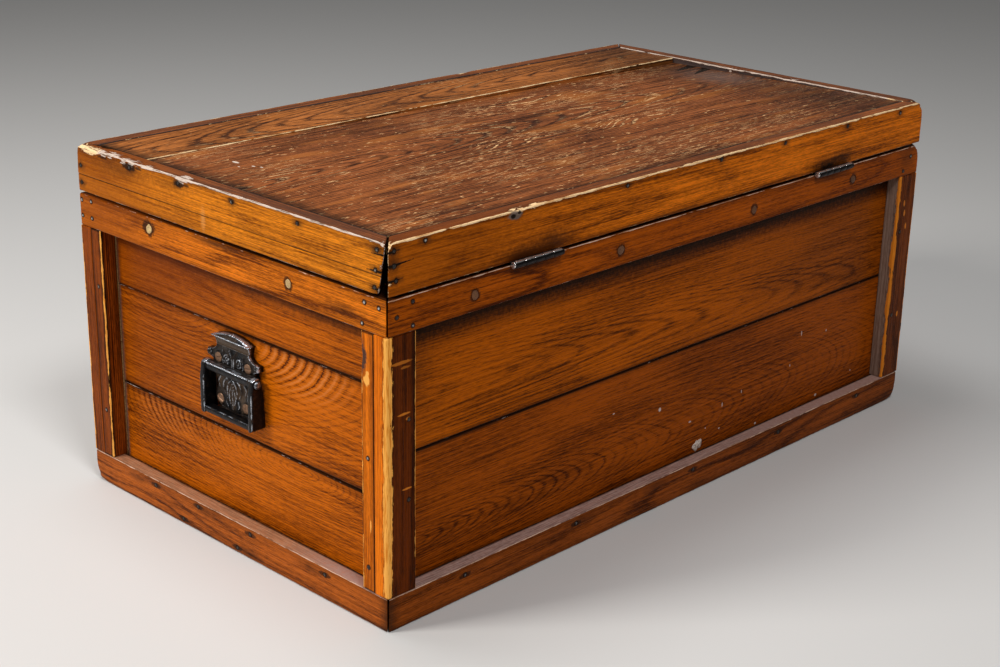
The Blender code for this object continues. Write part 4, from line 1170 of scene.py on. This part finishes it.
# Cast handles in mm: X off the chest, Y across and Z up from the bail's pin
CREST_TOP, CREST_HALF, CREST_RISE = 37.6, 28.0, 5.2
NECK_FOOT, NECK_HALF, NECK_TOP_HALF, EAVE_RIDGE = 23.0, 24.3, 25.8, 32.4
SHOULDER_FOOT, SHOULDER_HALF, COVE = 8.0, 38.0, 7.0
WAIST_HALF, PLATE_FOOT = 31.5, -39.0
BARREL, BARREL_HALF, PIVOT = 4.2, 33.0, 9.0
UPPER_FIELD, LOWER_FIELD = 5.2, 6.6
PLATE_OUTLINE = ((WAIST_HALF, -4.2), (28.0, -9.6), (24.5, -15.0), (29.5, -28.5), (24.25, -36.6),
                 (9.5, PLATE_FOOT))

# Screw centres with the height of their pads and the turn of their slots, upper pair first
SCREWS = ((-22.0, 10.0, 6.0, 0.3), (22.0, 10.0, 6.0, 0.15), (-19.0, -30.0, 7.2, -0.5),
          (19.0, -30.0, 7.2, 1.4))
SCREW_RADIUS, SCREW_RISE, SLOT_DEPTH = 4.9, 1.0, 0.9

# Curves of the cast foliage on one half of the plate, with their width and height
FOLIAGE = (
    (((1.4, 5.0), (1.1, 10.0), (2.0, 15.5), (4.6, 20.6)), 1.1, 2.0),
    (((14.5, 6.0), (15.2, 9.5), (14.2, 14.0), (15.4, 18.5)), 1.0, 1.4),
    (((0.0, -6.0), (0.0, -20.0), (0.0, -36.0)), 1.3, 1.9),
    (((1.2, -8.0), (5.2, -11.5), (7.4, -17.5), (6.0, -24.0)), 1.7, 2.0),
    (((1.0, -14.0), (3.6, -18.5), (4.6, -25.0), (3.0, -31.0)), 1.5, 1.9),
    (((8.0, -7.0), (12.0, -10.5), (13.2, -16.5), (10.6, -22.0)), 1.5, 1.7),
    (((18.0, -8.0), (20.5, -12.0), (19.0, -18.0)), 1.3, 1.3),
    (((8.0, -27.0), (9.4, -31.0), (7.4, -35.0)), 1.2, 1.3),
)

# Scrolls as centre, first radii, share that they lose, width and height
SCROLLS = (((8.9, 12.0), (4.7, 4.9), 0.80, 1.35, 2.0), ((34.2, 13.0), (2.8, 2.8), 0.75, 1.0, 1.5))


def smooth_curve(points, steps=10):
    """A Catmull-Rom curve through a few points."""
    points = np.array(points, dtype=float)
    padded = np.concatenate((points[:1], points, points[-1:]))
    t = np.arange(steps)[:, None] / steps
    pieces = []
    for p, q, r, s in zip(padded, padded[1:], padded[2:], padded[3:]):
        square, cube = 2 * p - 5 * q + 4 * r - s, 3 * q - p - 3 * r + s
        pieces.append(0.5 * (2 * q + (r - p) * t + square * t ** 2 + cube * t ** 3))
    return np.concatenate(pieces + [points[-1:]])


def scroll(middle, radii, loss):
    """A spiral that closes in on its middle."""
    spin = np.linspace(0, 1, 60)
    turn = np.radians(-110 + 520 * spin)
    circle = np.stack((np.cos(turn), np.sin(turn)), axis=1)
    return np.array(middle) + np.array(radii) * (1 - loss * spin)[:, None] * circle


def plate_width(z):
    """Half width of the handle plate at each height."""
    vase = smooth_curve(PLATE_OUTLINE)
    width = np.interp(z, vase[::-1, 1], vase[::-1, 0])
    width = np.where(z > -BARREL, BARREL_HALF, width)
    width = np.where(z > BARREL, WAIST_HALF, width)
    shoulder = np.interp(z, (SHOULDER_FOOT, SHOULDER_FOOT + 1.5, SHOULDER_FOOT + 3.0),
                         (WAIST_HALF, SHOULDER_HALF - 1.5, SHOULDER_HALF))
    width = np.where(z > SHOULDER_FOOT, shoulder, width)
    bend = np.sqrt(np.clip(1 - (np.clip(NECK_FOOT - z, 0, COVE) / COVE) ** 2, 0, 1))
    width = np.where(z > NECK_FOOT - COVE, SHOULDER_HALF - (SHOULDER_HALF - NECK_HALF) * bend, width)
    neck = np.interp(z, (NECK_FOOT, 30.5, EAVE_RIDGE), (NECK_HALF, NECK_TOP_HALF, CREST_HALF))
    width = np.where(z > NECK_FOOT, neck, width)
    arch = CREST_HALF * np.sqrt(np.clip((CREST_TOP - z) / CREST_RISE, 0.004, 1))
    return np.where(z > EAVE_RIDGE, arch, width)


def stroke(y, z, curve, width, height):
    """A rounded ridge that follows a curve, narrowing towards its end."""
    reach = np.full(y.shape, 99.0)
    for place, (at_y, at_z) in enumerate(curve):
        share = 1.0 - 0.5 * place / len(curve)
        reach = np.minimum(reach, np.hypot(y - at_y, z - at_z) / (width * share))
    return height * np.sqrt(np.clip(1 - reach ** 2, 0, 1))


def plate_relief(y, z, rim):
    """How far the cast face of the plate stands off the chest, from the field up to the crest and barrel."""
    side = np.abs(y)
    bead = 1.2 * np.exp(-((rim - 0.9) / 0.9) ** 2) * ((z > SHOULDER_FOOT - 0.5) & (z < NECK_FOOT - 0.5))
    lobes = LOWER_FIELD - 2.4 * np.clip(1 - rim / 3.0, 0, 1) ** 2
    field = np.where(z < 0, lobes, UPPER_FIELD + bead)
    relief = np.zeros(y.shape)
    for middle, radii, loss, width, height in SCROLLS:
        relief = np.maximum(relief, stroke(side, z, scroll(middle, radii, loss), width, height))
    for curve, width, height in FOLIAGE:
        relief = np.maximum(relief, stroke(side, z, smooth_curve(curve), width, height))
    for at_y, at_z, pad, _ in SCREWS:
        seat = np.clip((np.hypot(y - at_y, z - at_z) - SCREW_RADIUS - 0.3) / 1.2, 0, 1)
        relief *= seat
        field = field * seat + pad * (1 - seat)
    crown = CREST_TOP - CREST_RISE * (side / CREST_HALF) ** 2
    slope = np.clip((z - EAVE_RIDGE) / np.maximum(crown - EAVE_RIDGE, 0.1), 0, 1)
    eave = 9.8 - 3.8 * slope + 0.6 * np.exp(-((slope - 0.8) / 0.12) ** 2)
    rise = np.clip((z - NECK_FOOT) / (EAVE_RIDGE - NECK_FOOT), 0, 1)
    neck = 5.6 + 3.2 * rise ** 2 + 0.8 * np.exp(-((rise - 0.06) / 0.06) ** 2)
    height = np.where(z > NECK_FOOT, np.where(z > EAVE_RIDGE - 0.5, eave, neck), field + relief)
    barrel = PIVOT + BARREL * np.clip(1 - np.abs(z / BARREL) ** 2.6, 0, 1) ** (1 / 2.6)
    return np.where(np.abs(z) <= BARREL, barrel, height)


def relief_slab(x, y, z, back):
    """A closed slab from grids of its front points, with a flat back."""
    front = np.stack((x, y, z), axis=-1).reshape(-1, 3)
    rear = front.copy()
    rear[:, 0] = back
    index = np.arange(x.size).reshape(x.shape)
    sheet = np.stack((index[:-1, :-1], index[:-1, 1:], index[1:, 1:], index[1:, :-1]), axis=-1).reshape(-1, 4)
    loop = np.concatenate((index[0, :], index[1:, -1], index[-1, -2::-1], index[-2:0:-1, 0]))
    after = np.roll(loop, -1)
    wall = np.stack((loop, loop + index.size, after + index.size, after), axis=-1)
    return np.concatenate((front, rear)), np.concatenate((sheet, sheet[:, ::-1] + index.size, wall))


def plate_rows():
    """Heights of the plate's rows of points, closer where the relief steps."""
    arc = BARREL * np.sin(np.linspace(-np.pi / 2, np.pi / 2, 17))
    return np.concatenate((np.arange(PLATE_FOOT, -4.6, 0.6), (-4.5, -4.24), arc, (4.24, 4.5),
                           np.arange(4.9, 22.9, 0.55), (22.97, 23.03), np.arange(23.4, 31.8, 0.5),
                           (31.85, 31.95, 32.4, 32.7), np.arange(33.1, 37.4, 0.45), (37.5, 37.58)))


def cast_plate():
    """The handle plate, cast in one with its crest and barrel, with its wear, its rust and painted
    highlights.
    """
    z = plate_rows()
    u = np.sin(np.linspace(-np.pi / 2, np.pi / 2, 109) * 0.8) / np.sin(np.pi * 0.4)
    width = plate_width(z)
    z_grid, u_grid = np.meshgrid(z, u, indexing="ij")
    y_grid = u_grid * width[:, None]
    rim = np.full(y_grid.shape, 99.0)
    for at_y, at_z in zip(width, z):
        rim = np.minimum(rim, np.hypot(np.abs(y_grid) - at_y, z_grid - at_z))
    x_grid = plate_relief(y_grid, z_grid, rim)
    soft = np.clip(1 - rim / 0.7, 0, 1)
    x_grid -= 0.7 * (1 - np.sqrt(1 - soft ** 2)) * (np.abs(z_grid) > BARREL)
    pits = np.stack((x_grid, y_grid, z_grid), axis=-1).reshape(-1, 3)
    x_grid += 0.24 * (value_noise(pits, 1.7, 5).reshape(x_grid.shape) - 0.5)
    blurred = x_grid.copy()
    for _ in range(3):
        wide = np.pad(blurred, 1, mode="edge")
        blurred = (wide[:-2, 1:-1] + wide[2:, 1:-1] + wide[1:-1, :-2] + wide[1:-1, 2:]) / 4
    worn = np.clip(0.05 + 1.2 * (x_grid - blurred), 0, 0.5)
    # Painted highlights and reflection: the barrel's bluish face and its bright top line, the crest's ridge,
    # the shoulders' rims and the arch's top edge are made bright through the "worn" value.
    bright = np.where(np.abs(z_grid) < BARREL, 0.45, 0.0)
    for low, high, share in ((2.4, 3.7, 1.6), (EAVE_RIDGE - 0.8, EAVE_RIDGE + 0.4, 1.5)):
        bright = np.where((z_grid > low) & (z_grid < high), share, bright)
    bright = np.where((z_grid > SHOULDER_FOOT) & (rim < 0.9), 1.0, bright)
    bright = np.where((z_grid > EAVE_RIDGE) & (rim < 1.6), 1.3, bright)
    worn = np.maximum(worn, bright * (0.35 + 0.4 * value_noise(pits, 6.0, 6).reshape(x_grid.shape)))
    mottled = np.clip(2.2 * value_noise(pits, 7.0, 3).reshape(x_grid.shape) - 0.5, 0, 1)
    rusty = np.where(z_grid < -BARREL, 0.85 * mottled, np.where(z_grid > BARREL, 0.35 * mottled, 0.0))
    rusty = np.where((z_grid > NECK_FOOT) & (z_grid < EAVE_RIDGE - 0.8), 0.95, rusty)
    values = [np.concatenate((line.ravel(), np.zeros(line.size))) for line in (worn, rusty)]
    return (*relief_slab(x_grid, y_grid, z_grid, 0.3), dict(zip(("worn", "rusty"), values)))


def slotted_head(turn):
    """A low screw head with a slot across it, facing X."""
    line = np.concatenate((np.linspace(-1, -0.17, 8), (-0.13, 0.0, 0.13), np.linspace(0.17, 1, 8)))
    v, u = np.meshgrid(line, np.linspace(-1, 1, 17), indexing="ij")
    y, z = SCREW_RADIUS * u * np.sqrt(1 - v ** 2 / 2), SCREW_RADIUS * v * np.sqrt(1 - u ** 2 / 2)
    x = SCREW_RISE * (1 - 0.6 * ((y ** 2 + z ** 2) / SCREW_RADIUS ** 2) ** 2)
    x = np.where(np.abs(v) < 0.15, np.minimum(x, SCREW_RISE - SLOT_DEPTH), x)
    y, z = y * np.cos(turn) - z * np.sin(turn), y * np.sin(turn) + z * np.cos(turn)
    return (*relief_slab(x, y, z, -2.0), {})


# The bail in mm from its pin: sides and foot of its arms, radius round the pin, and bend of the outer corners
ARM_IN, ARM_OUT, ARM_FOOT, ARM_TOP, ARM_EYE = 33.5, 38.5, -46.25, 5.45, 5.6
ARM_BEND = 3.5
GRIP_LOW, GRIP_HIGH = (-4.0, -35.5, -45.85), (7.0, 35.5, -39.65)


def bail_arm(side):
    """One deep arm of the bail, rounded round the pin and stepped at its heel."""
    points, quads = block((-1.0, ARM_IN, ARM_FOOT), (1.0, ARM_OUT, ARM_TOP), 0.0, 1.6)
    z, u = points[:, 2], points[:, 0].copy()
    swell = np.sqrt(np.clip(ARM_EYE ** 2 - np.clip(z, 0, None) ** 2, 0.5, None))
    front = np.where(z > 0, swell, np.interp(z, (-11.2, 0.0), (7.4, ARM_EYE)))
    back = np.where(z > 0, swell, np.interp(z, (-30.2, -29.2, -11.2, 0.0), (8.6, 7.8, 7.8, ARM_EYE)))
    points[:, 0] = np.where(u > 0, u * front, u * back)
    bend_y, bend_z = ARM_OUT - ARM_BEND, ARM_FOOT + ARM_BEND
    foot = np.stack((np.clip(points[:, 1] - bend_y, 0, None), np.clip(bend_z - z, 0, None)), axis=1)
    both = (foot > 0).all(axis=1)
    shrink = foot.max(axis=1) / np.maximum(np.linalg.norm(foot, axis=1), 1e-9)
    points[both, 1] = bend_y + foot[both, 0] * shrink[both]
    points[both, 2] = bend_z - foot[both, 1] * shrink[both]
    edge = np.abs(u) * np.abs(points[:, 1] - (ARM_IN + ARM_OUT) / 2) / (ARM_OUT - ARM_IN) * 2
    points[:, 0] *= 1 - 0.07 * np.clip(edge - 0.6, 0, None)
    points[:, 1] *= side
    return points, quads if side > 0 else quads[:, ::-1]


def cast_bail():
    """The bail, bright along its edges from wear and a painted highlight, and with a painted highlight on the
    tops of its arms round the pin.
    """
    points, faces = joined((bail_arm(1), bail_arm(-1), block(GRIP_LOW, GRIP_HIGH, 2.4, 1.2)))
    x, y, z = points[:, 0], np.abs(points[:, 1]), points[:, 2]
    edges = np.minimum(np.abs(y - ARM_IN), np.abs(y - ARM_OUT)) + np.abs(x - 7.2) * (z < -8)
    reach = np.minimum(edges + 9 * (z > -8), np.abs(z + 39.9) + np.abs(x - 6.0))
    # The bright edges are wear and a painted highlight; the bright tops of the arms round the pin are a
    # painted highlight.
    worn = np.maximum(np.clip(1.25 - reach / 1.2, 0, 1), 1.2 * np.clip((z - 1.5) / 2.5, 0, 1) * (x > -3))
    worn *= 0.3 + 0.5 * value_noise(points, 5.0, 9)
    return points + 0.07 * (value_noise(points, 2.2, 8)[:, None] - 0.5), faces, {"worn": worn}


def pin_heads():
    """The two riveted heads of the bail's pin."""
    profile = [(38.8, 0.5), (38.8, 3.5), (39.3, 4.0)] + round_head(40.3, 4.0, 1.9)
    heads = []
    for sign in (1, -1):
        points, faces = lathe(profile, 24)
        points = np.stack((points[:, 1], sign * points[:, 0], points[:, 2]), axis=1)
        heads.append((points, faces if sign < 0 else [face[::-1] for face in faces]))
    points, faces = joined(heads)
    # Painted highlight: the heads are made bright all over through their "worn" value.
    return points, faces, {"worn": np.full(len(points), 0.5)}


def make_handles():
    """A cast plate, a bail, pin heads and four slotted screws at each end."""
    for side, turn in (("right", 0.0), ("left", np.pi)):
        pivot = Matrix.Translation(centre(f"{side}_handle_pin")) @ Matrix.Rotation(turn, 4, "Z")
        seat = pivot @ Matrix.Translation(Vector((-PIVOT * MM, 0.0, 0.0)))
        for part, shape, matrix in (("plate", cast_plate(), seat), ("bail", cast_bail(), pivot),
                                    ("pin", pin_heads(), pivot)):
            node = f"{side}_handle_{part}"
            fit(f"{node}_cast", node, shape, CAST_IRON, matrix)
        for number, (y, z, pad, slot_turn) in enumerate(SCREWS, 1):
            node = f"{side}_handle_screw_{number}"
            place = seat @ Matrix.Translation(Vector((pad, y, z)) * MM)
            fit(f"{node}_slotted", node, slotted_head(slot_turn), SCREW_STEEL, place)


BLOT_RADIUS, BLOT_TOP, BLOT_SIDES = 6.4, 0.55, 26
BLOT_PROFILE = ((0.5, 0.5), (0.85, 0.35), (1.0, 0.05), (1.0, -0.6))
BLOT_X, BLOT_Z = -0.0474, 0.0385


def make_paint_blot():
    """A dried drop of pale paint on the lower back board."""
    board = "back_board_lower"
    random = np.random.default_rng(4)
    angles = np.arange(BLOT_SIDES) * 2 * np.pi / BLOT_SIDES
    swell = 1 + 0.22 * np.cos(2 * angles + 0.6) + 0.12 * np.cos(5 * angles)
    swell += 0.12 * (random.random(BLOT_SIDES) - 0.5)
    shape = (*dome(BLOT_RADIUS * swell, BLOT_PROFILE, BLOT_TOP), {})
    place = Matrix.Translation(Vector((BLOT_X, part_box(board)[1][1], BLOT_Z)))
    fit("paint_blot", board, shape, old_paint(), place, SLOT_OF[board])


def area_light(name, place, target, size, power, colour=(1.0, 1.0, 1.0)):
    """A soft square lamp aimed at a point."""
    lamp = bpy.data.lights.new(name, "AREA")
    lamp.size = size
    lamp.energy = power
    lamp.color = colour
    item = bpy.data.objects.new(name, lamp)
    bpy.context.scene.collection.objects.link(item)
    item.location = place
    item.rotation_euler = (Vector(target) - Vector(place)).to_track_quat("-Z", "Y").to_euler()


FLOOR_HALF, FLOOR_DROP = 9.0, 0.0004


def make_floor():
    """A pale floor just below the chest."""
    paper = bpy.data.materials.new("floor_paper")
    paper.use_nodes = True
    shader = paper.node_tree.nodes["Principled BSDF"]
    shader.inputs["Base Color"].default_value = (0.70, 0.69, 0.675, 1.0)
    shader.inputs["Roughness"].default_value = 0.9
    corners = [(x * FLOOR_HALF, y * FLOOR_HALF, 0) for x, y in ((-1, -1), (1, -1), (1, 1), (-1, 1))]
    floor = mesh_piece("floor", corners, [(0, 1, 2, 3)], paper)
    floor.location.z = -FLOOR_DROP


def make_lights():
    """Soft studio lamps and a faint even sky."""
    world = bpy.data.worlds.new("studio")
    world.use_nodes = True
    sky = world.node_tree.nodes["Background"]
    sky.inputs["Color"].default_value = (1.0, 1.0, 1.0, 1.0)
    sky.inputs["Strength"].default_value = 0.10
    bpy.context.scene.world = world
    area_light("key", (2.1, -0.8, 1.7), (0.2, 0.0, 0.2), 0.7, 39.0, (1.0, 0.97, 0.93))
    area_light("fill", (0.9, 1.6, 2.5), (0.1, 0.1, 0.2), 0.7, 34.0)
    area_light("top", (0.3, -0.5, 2.4), (0.1, 0.0, 0.3), 1.0, 18.0)


def make_camera():
    """The camera at the photograph's angle, above the corner of the back and the right end."""
    camera = bpy.data.cameras.new("camera")
    camera.sensor_width = 36.0
    camera.lens = 63.133
    item = bpy.data.objects.new("camera", camera)
    bpy.context.scene.collection.objects.link(item)
    item.location = (1.31124, 1.22938, 0.77218)
    item.rotation_euler = (1.221837, -0.018240, 2.345152)
    bpy.context.scene.camera = item
    bpy.context.scene.view_settings.view_transform = "Standard"


make_plinth()
make_top_rails()
make_lid_rails()
make_stiles()
make_boards()
make_lid_boards()
make_hinges()
make_handles()
make_paint_blot()
make_floor()
make_lights()
make_camera()
